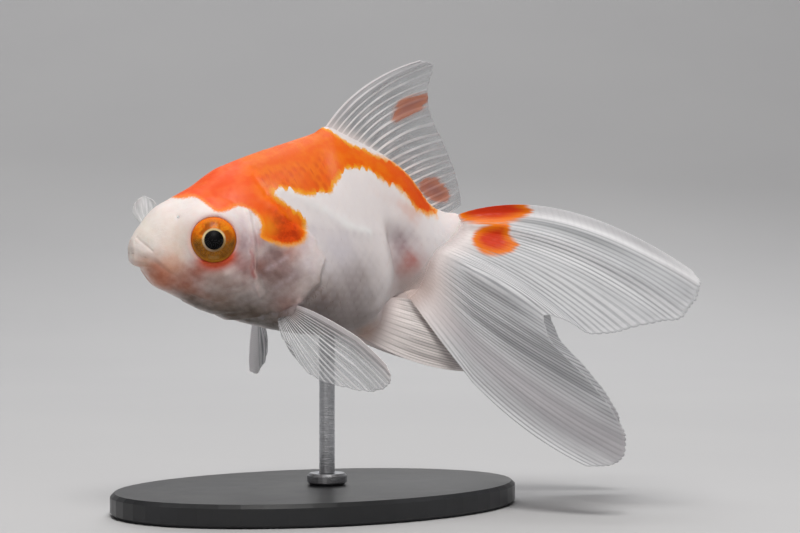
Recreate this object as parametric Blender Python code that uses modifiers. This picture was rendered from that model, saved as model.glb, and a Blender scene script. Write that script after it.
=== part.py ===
"""A fancy goldfish (a fantail), life size, as a still model on a plain display stand.

The fish is drawn straight, in millimetres, in a frame of its own: x runs back from the tip of the snout, y is positive
on the fish's right and z is up from the level of the mouth. Its pieces are made and parted there. Then the rear of the
body is bent sideways, as in a slow turn to the left, and the fish is set on its stand.
The stand's base is centred on the world's origin and stands on z = 0. The fish's left side faces -Y.
"""

import math

import bmesh
import bpy
from mathutils import Vector

MM = 0.001

# ---- driving sizes, in millimetres ----
STANDARD_LENGTH = 58.0  # snout to the end of the tail stalk
SNOUT_LEVEL = 41.0  # the mouth above the floor
BALANCE_X = 32.0  # the place along the fish that stands over the base's centre
GAP = 0.3  # between neighbouring solids
FIN_THICKNESS = 0.6
FLAP_THICKNESS = 0.7

BEND_START = 30.0  # the spine is straight as far as here
BEND_END = 58.0  # and straight again from here
BEND_ANGLE = math.radians(33.0)  # the tail's heading, turned to the fish's left

EYE_RADIUS = 4.2
EYE_PLACE = (11.4, 5.9, 1.7)
NAPE_X = 18.6  # where the head ends on top
STALK_X = 46.5  # where the trunk ends and the tail stalk begins

BASE_LENGTH = 68.0
BASE_WIDTH = 46.0
BASE_HEIGHT = 3.6
ROD_X = 33.5
ROD_RADIUS = 1.25
COLLAR_RADIUS = 3.2
COLLAR_HEIGHT = 1.8

SECTIONS = 38  # lengthwise sections of the body
RING = 28  # points round each section
LEFT, RIGHT = -1, 1
SIDES = {"left": LEFT, "right": RIGHT}

# The body's sections: x, top, bottom, height of the widest point, half width, and how full the upper and the lower
# half are (2 is an ellipse, less is a ridge and more is a box).
BODY = (
    (0.0, 1.0, -1.6, -0.3, 0.9, 2.0, 2.0),
    (0.7, 2.4, -2.4, -0.2, 2.0, 2.0, 2.0),
    (2.0, 4.2, -3.1, -0.1, 3.3, 2.0, 2.0),
    (4.0, 6.5, -5.5, 0.0, 4.8, 1.9, 2.0),
    (6.5, 8.0, -6.7, 0.2, 6.2, 1.9, 2.0),
    (10.5, 10.2, -8.6, 0.3, 7.9, 1.9, 2.0),
    (15.0, 13.1, -10.5, -0.4, 9.3, 1.8, 2.0),
    (20.0, 15.2, -11.7, -1.4, 10.1, 1.7, 2.1),
    (26.0, 17.2, -13.0, -2.4, 10.6, 1.7, 2.1),
    (30.5, 18.7, -13.5, -3.0, 10.9, 1.6, 2.2),
    (33.4, 19.6, -13.6, -3.2, 10.9, 1.6, 2.2),
    (36.5, 18.4, -13.5, -3.4, 10.7, 1.6, 2.2),
    (40.5, 16.5, -12.2, -3.4, 9.5, 1.6, 2.2),
    (43.5, 14.9, -9.6, -1.8, 7.4, 1.6, 2.1),
    (47.0, 12.0, -7.6, 0.6, 5.2, 1.7, 2.0),
    (51.0, 6.9, -6.2, 1.0, 3.7, 1.8, 2.0),
    (55.0, 6.2, -5.2, 0.5, 2.6, 1.9, 2.0),
    (58.0, 4.0, -3.6, 0.2, 1.4, 2.0, 2.0),
)

# The rear edge of the gill covers, from the nape down to the throat: x, z.
GILL_EDGE = (
    (18.6, 24.0), (18.6, 13.0), (20.0, 8.5), (22.6, 4.4), (26.2, 1.8),
    (27.7, -1.2), (27.2, -4.8), (25.0, -7.6), (20.6, -9.6), (17.0, -11.4), (16.0, -20.0),
)  # fmt: skip
# The front edge of the gill covers, from the top round to the bottom.
COVER_FRONT = ((21.5, 5.4), (17.8, 6.0), (16.4, 3.6), (16.6, 0.0), (16.4, -3.4), (17.6, -6.8), (20.6, -8.6))
COVER_DEPTH = 6.6  # the covers reach in to this distance from the middle

# A fin is a fan of rays: the line that their roots stand on, their tips in order, and how far the middle of the first,
# the middle and the last ray bows away from straight. y is written as the distance from the middle of the fish.
# Paired fins are alike on both sides, but for the pectorals: the left one is spread and the right one beats forward.
FINS = {
    "dorsal_fin": {
        "roots": ((32.0, 0, 18.0), (38.6, 0, 16.0), (45.6, 0, 11.3), (51.6, 0, 5.4)),
        "tips": (
            (49.0, 0, 31.0), (51.2, 0, 30.2), (50.2, 0, 25.6), (50.8, 0, 22.0),
            (53.0, 0, 17.6), (55.0, 0, 13.0), (55.7, 0, 7.6),
        ),
        "bows": ((-1.4, 0, 1.6), (-0.4, 0, 0.6), (0, 0, -0.4)),
    },
    "pectoral_fin_left": {
        "roots": ((23.6, 7.0, -8.2), (22.0, 6.4, -10.6)),
        "tips": (
            (35.2, 22.0, -17.4), (35.9, 22.6, -19.4), (34.4, 22.0, -20.8), (31.4, 20.6, -21.2), (28.0, 18.4, -20.8),
            (25.2, 15.8, -19.8), (23.2, 12.8, -17.6), (22.2, 9.8, -14.2),
        ),
        "bows": ((-1.9, 0, 1.9), (0, -0.8, -0.2), (-0.3, 0, -0.6)),
    },
    "pectoral_fin_right": {
        "roots": ((24.0, 7.0, -9.0), (24.8, 6.0, -11.0)),
        "tips": (
            (29.6, 22.0, -20.2), (30.4, 21.2, -20.7), (30.2, 18.8, -19.4), (30.0, 16.4, -18.3),
            (29.2, 13.8, -17.0), (27.8, 11.0, -15.0), (26.6, 8.6, -13.2),
        ),
        "bows": ((-0.4, 0, 0), (0.4, 0, 0.2), (0.2, 0, 0)),
    },
    "pelvic_fin": {
        "roots": ((36.0, 2.8, -12.4), (41.0, 2.8, -9.4)),
        "tips": (
            (56.8, 6.0, -19.2), (58.0, 6.0, -17.4), (57.2, 5.6, -14.8), (54.0, 4.4, -12.4), (48.6, 3.6, -10.4),
        ),
        "bows": ((0, 0.3, -1.6), (0, 0.5, -0.4), (0, 0.2, 0.2)),
    },
    "anal_fin": {
        "roots": ((43.6, 1.2, -7.2), (50.0, 1.2, -4.6)),
        "tips": ((57.4, 3.2, -16.2), (59.4, 3.3, -15.2), (60.0, 3.1, -12.4), (57.6, 2.4, -8.6)),
        "bows": ((0, 0.2, -0.6), (0, 0.3, 0), (0, 0.2, 0)),
    },
    "tail_upper": {
        "roots": ((54.6, 0.8, 5.7), (52.6, 1.6, 2.8), (50.0, 2.6, 0.4)),
        "tips": (
            (92.6, 8.6, -3.4), (93.6, 9.4, -5.4), (92.4, 10.2, -8.2), (90.2, 11.2, -10.7),
            (86.0, 12.4, -11.2), (81.0, 13.4, -12.5), (76.4, 13.8, -13.0), (72.6, 13.4, -10.8), (69.6, 13.0, -9.8),
        ),
        "bows": ((-1.4, -1.0, 5.5), (0, 0, 3.2), (0, 0.4, 0.9)),
    },
    "tail_lower": {
        "roots": ((49.7, 2.6, 0.0), (47.4, 3.0, -2.4), (44.8, 3.0, -4.2)),
        "tips": (
            (69.0, 13.2, -10.4), (70.6, 14.4, -14.2), (75.0, 15.4, -18.8), (79.4, 16.0, -24.0),
            (81.8, 16.5, -28.6), (80.6, 16.6, -32.4), (76.0, 16.2, -33.2),
        ),
        "bows": ((0, 0.4, 0.7), (-0.6, 0.4, -1.2), (-0.6, 1.0, -3.5)),
    },
}  # fmt: skip
FIN_GRIDS = {  # columns across the rays, rows along them
    "dorsal_fin": (14, 6),
    "pectoral_fin_left": (12, 6),
    "pectoral_fin_right": (12, 6),
    "pelvic_fin": (9, 5),
    "anal_fin": (7, 4),
    "tail_upper": (13, 8),
    "tail_lower": (12, 8),
}
PAIRED = ("pelvic_fin", "anal_fin", "tail_upper", "tail_lower")

# The skin flap over each nostril: the root's place, and the flap's height, width and lean.
NOSTRIL_FLAPS = {
    "left": {"place": (6.6, 4.3, 5.2), "height": 2.2, "width": 2.4, "out": 0.7, "up": 0.6, "back": 0.8},
    "right": {"place": (4.9, 3.9, 4.6), "height": 3.9, "width": 3.6, "out": 0.3, "up": 1.0, "back": -0.15},
}

COLOURS = {  # base colour, roughness, metallic
    "white_skin": ((0.90, 0.86, 0.84), 0.45, 0.0),
    "fin": ((0.86, 0.87, 0.88), 0.40, 0.0),
    "eye": ((0.80, 0.36, 0.04), 0.15, 0.0),
    "stand_black": ((0.04, 0.04, 0.045), 0.45, 0.0),
    "stand_steel": ((0.62, 0.62, 0.64), 0.30, 1.0),
}


# ---- curves ----
def through(keys, at):
    """The smooth curve through keys, which are equally spaced from 0 to 1, at the place at. Keys are numbers or Vectors."""
    last = len(keys) - 1
    place = min(max(at, 0.0), 1.0) * last
    i = min(int(place), last - 1)
    t = place - i
    a, b = keys[i], keys[i + 1]
    before = keys[i - 1] if i else a - (b - a)
    after = keys[i + 2] if i + 2 <= last else b + (b - a)
    slope_a, slope_b = (b - before) / 2, (after - a) / 2
    return (
        a * (2 * t**3 - 3 * t**2 + 1)
        + slope_a * (t**3 - 2 * t**2 + t)
        + b * (3 * t**2 - 2 * t**3)
        + slope_b * (t**3 - t**2)
    )


def body_at(x, column):
    """One of the body's measures at x, on a smooth curve through its sections."""
    rows = BODY
    i = max(k for k in range(len(rows) - 1) if k == 0 or rows[k][0] <= x)
    (xa, a), (xb, b) = ((row[0], row[column]) for row in (rows[i], rows[i + 1]))

    def slope(k):
        low, high = rows[max(k - 1, 0)], rows[min(k + 1, len(rows) - 1)]
        return (high[column] - low[column]) / (high[0] - low[0])

    span = xb - xa
    t = (x - xa) / span
    return (
        a * (2 * t**3 - 3 * t**2 + 1)
        + slope(i) * span * (t**3 - 2 * t**2 + t)
        + b * (3 * t**2 - 2 * t**3)
        + slope(i + 1) * span * (t**3 - t**2)
    )


def ring_at(x, grow=0.0):
    """The points round the body at x, pushed out by grow."""
    top, bottom, middle, half, upper, lower = (body_at(x, column) for column in range(1, 7))
    points = []
    for k in range(RING):
        angle = 2 * math.pi * k / RING
        across, up = math.cos(angle), math.sin(angle)
        power = 2 / (upper if up > 0 else lower)
        reach = (top - middle) if up > 0 else (middle - bottom)
        y = math.copysign(abs(across) ** power, across) * (half + grow)
        z = middle + math.copysign(abs(up) ** power, up) * (reach + grow)
        points.append(Vector((x, y, z)))
    return points


def bent(point):
    """Where a point of the straight fish goes when the spine is bent to the fish's left."""
    radius = (BEND_END - BEND_START) / BEND_ANGLE
    turn = min(max(point.x - BEND_START, 0.0), BEND_END - BEND_START) / radius
    past = max(point.x - BEND_END, 0.0)
    if point.x <= BEND_START:
        return point.copy()
    spine_x = BEND_START + radius * math.sin(turn) + past * math.cos(turn)
    spine_y = -radius * (1 - math.cos(turn)) - past * math.sin(turn)
    return Vector((spine_x + point.y * math.sin(turn), spine_y + point.y * math.cos(turn), point.z))


# ---- making objects ----
def clear_scene():
    for old in list(bpy.data.objects):
        bpy.data.objects.remove(old, do_unlink=True)


def collection_named(name):
    made = bpy.data.collections.new(name)
    bpy.context.scene.collection.children.link(made)
    return made


def material_named(name):
    found = bpy.data.materials.get(name)
    if found:
        return found
    colour, roughness, metallic = COLOURS[name]
    made = bpy.data.materials.new(name)
    made.use_nodes = True
    made.diffuse_color = (*colour, 1)
    shader = made.node_tree.nodes["Principled BSDF"]
    shader.inputs["Base Color"].default_value = (*colour, 1)
    shader.inputs["Roughness"].default_value = roughness
    shader.inputs["Metallic"].default_value = metallic
    return made


def new_object(name, mesh, collection):
    made = bpy.data.objects.new(name, mesh)
    collection.objects.link(made)
    return made


def object_of(name, bm, collection):
    """An object that holds what a bmesh has, with its faces turned out."""
    bmesh.ops.recalc_face_normals(bm, faces=bm.faces)
    mesh = bpy.data.meshes.new(name)
    bm.to_mesh(mesh)
    bm.free()
    return new_object(name, mesh, collection)


def with_modifiers_applied(thing):
    """Gives the object the mesh that its modifiers make."""
    bpy.context.view_layer.update()
    evaluated = thing.evaluated_get(bpy.context.evaluated_depsgraph_get())
    mesh = bpy.data.meshes.new_from_object(evaluated)
    thing.modifiers.clear()
    thing.data = mesh
    return thing


def loft(name, rings, collection):
    """A closed body through rings of the same number of points, which differ in shape from one to the next."""
    bm = bmesh.new()
    rows = [[bm.verts.new(point) for point in ring] for ring in rings]
    count = len(rows[0])
    for front, back in zip(rows, rows[1:]):
        for k in range(count):
            j = (k + 1) % count
            bm.faces.new((front[k], front[j], back[j], back[k]))
    bm.faces.new(rows[0])
    bm.faces.new(rows[-1])
    return object_of(name, bm, collection)


def body_loft(name, collection, grow=0.0):
    """The whole body from snout to tail stalk. Its sections stand closer together near the snout."""
    places = [STANDARD_LENGTH * (k / SECTIONS) ** 1.25 for k in range(SECTIONS + 1)]
    rings = [ring_at(x, grow) for x in places]
    if grow:
        rings[0] = [point - Vector((grow, 0, 0)) for point in rings[0]]
        rings[-1] = [point + Vector((grow, 0, 0)) for point in rings[-1]]
    return loft(name, rings, collection)


def prism(name, outline, low, high, collection, shift=0.0):
    """A side view outline (x, z), stretched across the fish from y = low to y = high."""
    bm = bmesh.new()
    near = bm.faces.new([bm.verts.new((x + shift, low, z)) for x, z in outline])
    stretched = bmesh.ops.extrude_face_region(bm, geom=[near])["geom"]
    moved = [part for part in stretched if isinstance(part, bmesh.types.BMVert)]
    bmesh.ops.translate(bm, verts=moved, vec=(0, high - low, 0))
    return object_of(name, bm, collection)


def boolean(thing, other, operation):
    modifier = thing.modifiers.new(operation.lower(), "BOOLEAN")
    modifier.operation = operation
    modifier.object = other
    modifier.solver = "EXACT"


def clipped(name, source, keep=(), remove=()):
    """A copy of source, cut down to what lies inside every keep and outside every remove."""
    thing = new_object(name, source.data.copy(), FISH)
    for other in keep:
        boolean(thing, other, "INTERSECT")
    for other in remove:
        boolean(thing, other, "DIFFERENCE")
    return with_modifiers_applied(thing)


def helper_sphere(name, place, radius):
    """A round cutter."""
    bm = bmesh.new()
    bmesh.ops.create_uvsphere(bm, u_segments=16, v_segments=10, radius=radius)
    bmesh.ops.translate(bm, verts=bm.verts, vec=place)
    return object_of(name, bm, CUTTERS)


def on_side(place, side):
    """A place written for the left side, with y as the distance from the middle, on the side asked for."""
    return Vector((place[0], place[1] * side, place[2]))


# ---- the body ----
def smooth_outline(keys, steps):
    points = [Vector(key) for key in keys]
    return [tuple(through(points, k / steps)) for k in range(steps + 1)]


def part_the_body():
    """The body, parted by thin cuts into head, gill covers, jaws, trunk and tail stalk."""
    body = body_loft("body", CUTTERS)
    edge = smooth_outline(GILL_EDGE, 24)
    front = prism("front_half", [(-5, -30), (-5, 30), *edge], -20, 20, CUTTERS)
    rear = prism("rear_half", [(90, -30), (90, 30), *edge], -20, 20, CUTTERS, shift=GAP * 1.3)
    trunk_end = prism("trunk_end", [(-5, -30), (-5, 30), (STALK_X, 30), (STALK_X, -30)], -20, 20, CUTTERS)
    stalk_start = prism("stalk_start", [(90, -30), (90, 30), (STALK_X, 30), (STALK_X, -30)], -20, 20, CUTTERS, shift=GAP)
    clipped("trunk", body, keep=(rear, trunk_end))
    clipped("tail_stalk", body, keep=(stalk_start,))

    covers, pockets = cover_cutters(edge)
    for side, cover in covers.items():
        clipped(f"gill_cover_{side}", body, keep=(front, cover))

    mouth, upper, lower = jaw_cutters()
    sockets = [
        helper_sphere(f"socket_{side}", on_side(EYE_PLACE, sign), EYE_RADIUS + GAP) for side, sign in SIDES.items()
    ]
    clipped("upper_lip", body, keep=(upper,), remove=(mouth,))
    clipped("lower_jaw", body, keep=(lower,), remove=(mouth,))
    jaw_room = prism("jaw_room", JAW_ROOM, -20, 20, CUTTERS)
    clipped("head", body, keep=(front,), remove=(*pockets.values(), *sockets, jaw_room))


def cover_cutters(edge):
    """For each side, what cuts out the gill cover, and the slightly larger pocket that it lies in."""
    top = max(z for x, z in COVER_FRONT)
    behind = [(x + 3.0, z) for x, z in edge if -8.4 < z < top - 0.8]
    outline = [*smooth_outline(COVER_FRONT, 14), *reversed(behind)]
    middle = Vector((22.0, -1.5))
    covers, pockets = {}, {}
    for side, sign in SIDES.items():
        inner, outer = COVER_DEPTH * sign, 20 * sign
        covers[side] = prism(f"cover_{side}", outline, inner, outer, CUTTERS)
        grown = [(x, z) + (Vector((x, z)) - middle).normalized().to_tuple() for x, z in outline]
        wider = [(x + dx * GAP, z + dz * GAP) for x, z, dx, dz in grown]
        pockets[side] = prism(f"pocket_{side}", wider, inner - GAP * sign, outer, CUTTERS)
    return covers, pockets


MOUTH_CORNER = (2.6, -0.7)
JAW_BACK = (6.4, -5.0)
LIP_BACK = 1.9
LIP_TOP = (0.5, 2.3)
JAW_ROOM = (
    (-5, 10), (LIP_TOP[0] + 0.2, 10), (LIP_TOP[0] + 0.4, LIP_TOP[1]), (LIP_BACK + 0.5, -0.1),
    (MOUTH_CORNER[0] + 0.5, MOUTH_CORNER[1] + 0.4), (JAW_BACK[0] + 0.3, JAW_BACK[1] + 0.2), (JAW_BACK[0] + 0.3, -20),
    (-5, -20),
)  # fmt: skip


def jaw_cutters():
    """The slit of the mouth, and the regions of the upper lip and of the lower jaw."""
    slit = ((-5, -0.5), (1.6, -0.4), (1.6, -0.7), (-5, -0.8))
    mouth = prism("mouth_slit", slit, -20, 20, CUTTERS)
    lip = ((-5, -0.5), (LIP_BACK, -0.4), LIP_TOP, (LIP_TOP[0] - 0.2, 10), (-5, 10))
    upper = prism("lip_region", lip, -20, 20, CUTTERS)
    jaw = ((-5, -0.8), (MOUTH_CORNER[0] - 0.6, -0.8), MOUTH_CORNER, JAW_BACK, (JAW_BACK[0], -20), (-5, -20))
    lower = prism("jaw_region", jaw, -20, 20, CUTTERS)
    return mouth, upper, lower


def make_eyes():
    for side, sign in SIDES.items():
        bm = bmesh.new()
        bmesh.ops.create_uvsphere(bm, u_segments=16, v_segments=10, radius=EYE_RADIUS)
        bmesh.ops.translate(bm, verts=bm.verts, vec=on_side(EYE_PLACE, sign))
        object_of(f"eye_{side}", bm, FISH)


# ---- fins ----
def fin_point(fin, across, along):
    """A point of a fin: across runs over its rays from 0 to 1, and along runs from root to tip."""
    root = through([Vector(p) for p in fin["roots"]], across)
    tip = through([Vector(p) for p in fin["tips"]], across)
    bow = through([Vector(p) for p in fin["bows"]], across)
    return root.lerp(tip, along) + bow * (4 * along * (1 - along))


def fin_sheet(name, point_at, columns, rows, thickness):
    """A sheet of columns by rows faces, shaped by point_at(across, along), and thickened."""
    bm = bmesh.new()
    bmesh.ops.create_grid(bm, x_segments=columns, y_segments=rows, size=0.5)
    for vert in bm.verts:
        vert.co = point_at(vert.co.x + 0.5, vert.co.y + 0.5)
    thing = object_of(name, bm, FISH)
    solidify = thing.modifiers.new("thickness", "SOLIDIFY")
    solidify.thickness = thickness
    solidify.offset = 0
    return thing


def make_fins():
    """Each fin, cut off where it meets the body."""
    body = body_loft("body_clearance", CUTTERS, grow=GAP)
    for kind, fin in FINS.items():
        columns, rows = FIN_GRIDS[kind]
        sides = SIDES if kind in PAIRED else {"": RIGHT if kind.endswith("right") else LEFT}
        for side, sign in sides.items():
            name = f"{kind}_{side}" if side else kind

            def point_at(across, along):
                return on_side(fin_point(fin, across, along), sign)

            thing = fin_sheet(name, point_at, columns, rows, FIN_THICKNESS)
            boolean(thing, body, "DIFFERENCE")
            with_modifiers_applied(thing)
    make_nostril_flaps(body)


def make_nostril_flaps(body):
    """The flap of skin that stands over each nostril. The right one is spread and the left one lies back."""
    for side, sign in SIDES.items():
        flap = NOSTRIL_FLAPS[side]
        place = on_side(flap["place"], sign)
        rise = Vector((flap["back"], flap["out"] * sign, flap["up"])).normalized()
        wide = Vector((-0.85, 0.25 * sign, -0.4)).cross(rise).cross(rise).normalized()

        def point_at(across, along):
            spread = flap["width"] * (0.45 + 0.55 * math.sin(math.pi * min(along * 0.75, 1)))
            height = flap["height"] * along * (1 - 0.35 * (2 * across - 1) ** 2)
            return place + wide * spread * (across - 0.5) + rise * height

        thing = fin_sheet(f"nostril_flap_{side}", point_at, 6, 4, FLAP_THICKNESS)
        boolean(thing, body, "DIFFERENCE")
        with_modifiers_applied(thing)


# ---- the stand ----
def make_stand():
    """A flat oval base, a collar on it, and a rod up to the belly. Written in the fish's frame, like the fish."""
    floor = -SNOUT_LEVEL
    bpy.ops.mesh.primitive_cylinder_add(
        vertices=56, radius=0.5, depth=BASE_HEIGHT, location=(BALANCE_X, 0, floor + BASE_HEIGHT / 2),
        scale=(BASE_LENGTH, BASE_WIDTH, 1),
    )
    base = claimed("stand_base")
    bevel = base.modifiers.new("rounded_rim", "BEVEL")
    bevel.width = 0.6
    bevel.segments = 1
    bevel.limit_method = "ANGLE"

    collar_level = floor + BASE_HEIGHT + 0.05
    bpy.ops.mesh.primitive_cylinder_add(
        vertices=28, radius=COLLAR_RADIUS, depth=COLLAR_HEIGHT, location=(ROD_X, 0, collar_level + COLLAR_HEIGHT / 2)
    )
    collar = claimed("stand_collar")
    rounding = collar.modifiers.new("rounded_rim", "BEVEL")
    rounding.width = 0.4
    rounding.segments = 1
    rounding.limit_method = "ANGLE"

    rod_bottom, rod_top = collar_level + COLLAR_HEIGHT + 0.05, -6.0
    bpy.ops.mesh.primitive_cylinder_add(
        vertices=24, radius=ROD_RADIUS, depth=rod_top - rod_bottom, location=(ROD_X, 0, (rod_top + rod_bottom) / 2)
    )
    boolean(claimed("stand_rod"), bpy.data.objects["body_clearance"], "DIFFERENCE")
    with_modifiers_applied(bpy.data.objects["stand_rod"])


def claimed(name):
    """The object that an operator has just added, named, moved to the fish's collection, with its place in its mesh."""
    thing = bpy.context.object
    thing.name = name
    thing.data.name = name
    for old in list(thing.users_collection):
        old.objects.unlink(thing)
    FISH.objects.link(thing)
    bpy.context.view_layer.update()
    thing.data.transform(thing.matrix_world)
    thing.location = (0, 0, 0)
    return thing


# ---- pose, place and finish ----
def material_for(name):
    if name in ("stand_base",):
        return "stand_black"
    if name.startswith("stand_"):
        return "stand_steel"
    if name.startswith("eye"):
        return "eye"
    if "fin" in name or name.startswith(("tail_upper", "tail_lower", "nostril")):
        return "fin"
    return "white_skin"


def pose_and_place():
    """Bends every piece of the fish with the spine, turns millimetres into metres and hangs it all on one empty."""
    mount = bpy.data.objects.new("goldfish_origin", None)
    FISH.objects.link(mount)
    mount.location = (-BALANCE_X * MM, 0, SNOUT_LEVEL * MM)
    for thing in [o for o in FISH.objects if o.type == "MESH"]:
        with_modifiers_applied(thing)
        for vert in thing.data.vertices:
            place = vert.co if thing.name.startswith("stand_") else bent(vert.co)
            vert.co = place * MM
        thing.data.materials.clear()
        thing.data.materials.append(material_named(material_for(thing.name)))
        thing.data.shade_smooth()
        thing.data.set_sharp_from_angle(angle=math.radians(40))
        thing.parent = mount


def hide_cutters():
    for helper in CUTTERS.objects:
        helper.hide_render = True
        helper.display_type = "WIRE"


clear_scene()
FISH = collection_named("fancy_goldfish")
CUTTERS = collection_named("cutters")
part_the_body()
make_eyes()
make_fins()
make_stand()
pose_and_place()
hide_cutters()
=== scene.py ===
# %% [markdown]
# # Dressing a fancy goldfish
# The solids of a life-size goldfish on its display stand are ready. This lesson gives them their looks: one
# wet skin with red and orange markings, an overlapping coat of scales, fins of branching rays with thin web
# between them, and clear domed eyes. The solids stay as they are. What has the right shape keeps it and
# only gets a finish, and what is soft flesh is hidden under a piece of its own that stands for it.

import math
from functools import partial

import bmesh
import bpy
import numpy as np
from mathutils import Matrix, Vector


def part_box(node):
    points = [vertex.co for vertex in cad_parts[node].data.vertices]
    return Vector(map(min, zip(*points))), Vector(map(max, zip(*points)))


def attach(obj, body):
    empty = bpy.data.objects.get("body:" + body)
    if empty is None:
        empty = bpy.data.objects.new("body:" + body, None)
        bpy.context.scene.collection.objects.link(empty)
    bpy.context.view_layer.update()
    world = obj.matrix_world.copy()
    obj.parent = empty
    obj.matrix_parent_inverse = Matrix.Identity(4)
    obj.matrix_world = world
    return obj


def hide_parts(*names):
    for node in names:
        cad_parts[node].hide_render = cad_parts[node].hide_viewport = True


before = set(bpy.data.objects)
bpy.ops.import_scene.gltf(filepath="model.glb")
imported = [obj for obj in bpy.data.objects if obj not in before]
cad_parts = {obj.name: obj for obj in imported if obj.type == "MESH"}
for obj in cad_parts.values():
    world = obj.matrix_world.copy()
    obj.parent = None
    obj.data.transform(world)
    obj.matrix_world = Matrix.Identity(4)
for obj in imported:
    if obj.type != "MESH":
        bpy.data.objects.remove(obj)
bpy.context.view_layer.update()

# %% [markdown]
# ## The fish's own frame
# A fish is easiest to draw straight, in millimetres: x runs back from the tip of the snout, y is positive
# on its right side and z is up from the mouth. The real one is bent in a slow turn, so its straight shape
# is made first and then bent along the spine. The eye tells where this frame stands: its middle is the
# middle of the left eye's solid.

# %% Straight frame, bend and place
MM = 0.001
BEND_START, BEND_END, BEND_ANGLE = 30.0, 58.0, math.radians(33.0)
EYE = np.array((11.4, 5.9, 1.7))
EYE_RADIUS = 4.2
LEFT, RIGHT = -1, 1
SIDES = {"left": LEFT, "right": RIGHT}

eye_low, eye_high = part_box("eye_left")
ORIGIN = np.array((eye_low + eye_high) / 2) / MM - EYE * (1, LEFT, 1)


def bent(points):
    """Where points of the straight fish go when its spine is bent to its left."""
    x, y, z = np.moveaxis(np.asarray(points, float), -1, 0)
    radius = (BEND_END - BEND_START) / BEND_ANGLE
    turn = np.clip(x - BEND_START, 0, BEND_END - BEND_START) / radius
    past = np.maximum(x - BEND_END, 0)
    spine_x = np.where(x < BEND_START, x, BEND_START + radius * np.sin(turn) + past * np.cos(turn))
    spine_y = -radius * (1 - np.cos(turn)) - past * np.sin(turn)
    return np.stack([spine_x + y * np.sin(turn), spine_y + y * np.cos(turn), z], -1)


def in_world(points):
    """Straight millimetres to the bent fish on its stand, in metres."""
    return (bent(points) + ORIGIN) * MM


print("snout at", np.round(in_world([(0, 0, 0)])[0], 4))

# %% [markdown]
# ## Small tools for curves and blends
# Most shapes here are smooth curves through a few named points, and soft steps from one value to another. A
# smooth curve through its keys keeps their places exactly, which a rounded-off spline wouldn't.


# %% Curves and soft steps
def through(keys, at):
    """The smooth curve through equally spaced keys, at places from 0 to 1."""
    keys = np.asarray(keys, float)
    last = len(keys) - 1
    place = np.clip(at, 0, 1) * last
    i = np.minimum(place.astype(int), last - 1)
    t = (place - i)[..., None]
    ends = np.concatenate([[2 * keys[0] - keys[1]], keys, [2 * keys[-1] - keys[-2]]])
    before, a, b, after = (ends[i + k] for k in range(4))
    return hermite(a, b, (b - before) / 2, (after - a) / 2, t)


def hermite(a, b, rise_a, rise_b, t):
    """From a to b while t runs from 0 to 1, with the given rises at the two ends."""
    bend = rise_a * (t**3 - 2 * t**2 + t) + rise_b * (t**3 - t**2)
    return a * (2 * t**3 - 3 * t**2 + 1) + b * (3 * t**2 - 2 * t**3) + bend


def step(low, high, value):
    """0 below low, 1 above high, and smooth between."""
    t = np.clip((value - low) / (high - low), 0, 1)
    return t * t * (3 - 2 * t)


def hump(distance, width):
    """1 on a line or point, and softly down to 0 about twice width away."""
    return np.exp(-((distance / width) ** 2))


def distance_to_line(points, line):
    """How far points are from a line through a few places."""
    best = np.full(points.shape[:-1], 1e9)
    for a, b in zip(np.asarray(line[:-1], float), np.asarray(line[1:], float)):
        t = np.clip(((points - a) @ (b - a)) / ((b - a) @ (b - a)), 0, 1)
        best = np.minimum(best, np.linalg.norm(points - a - t[..., None] * (b - a), axis=-1))
    return best


def depth_inside(points, outline):
    """How deep side-view points lie inside a closed outline, and minus the distance outside it."""
    x, z = points[..., 0], points[..., 1]
    odd = np.zeros(x.shape, bool)
    for (xa, za), (xb, zb) in zip(outline, [*outline[1:], outline[0]]):
        odd ^= ((za > z) != (zb > z)) & (x < (xb - xa) * (z - za) / (zb - za + 1e-12) + xa)
    away = distance_to_line(points, [*outline, outline[0]])
    return np.where(odd, away, -away)


def softly(points, strength=1.0, seed=0.0):
    """Slow waves in space, from -1 to 1, that break up what would look drawn with a ruler."""
    x, y, z = np.moveaxis(np.asarray(points, float), -1, 0)
    waves = np.sin(1.7 * x + 1.1 * z + seed) + np.sin(-1.3 * z + 0.9 * y + 2.1 * seed + 1.0)
    waves = waves + np.sin(2.9 * x - 2.3 * z + 1.7 * y + seed) * 0.6 + np.sin(4.1 * z + 3.3 * x - seed) * 0.4
    return strength * waves / 3.0


print("through 3 keys:", through([(0, 0), (1, 2), (2, 0)], np.array([0.0, 0.5, 1.0])).tolist())

# %% [markdown]
# ## The body's sections
# A goldfish has an egg-shaped body. Each row gives a section's place, its top and bottom, the height of its
# widest point, its half width, and how full its upper and lower half are (2 is an ellipse, less is a
# ridge). The solids have the same rows, so the skin follows them. Points stand evenly round each half
# section, from the back to the belly, because scales need even room.

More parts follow.
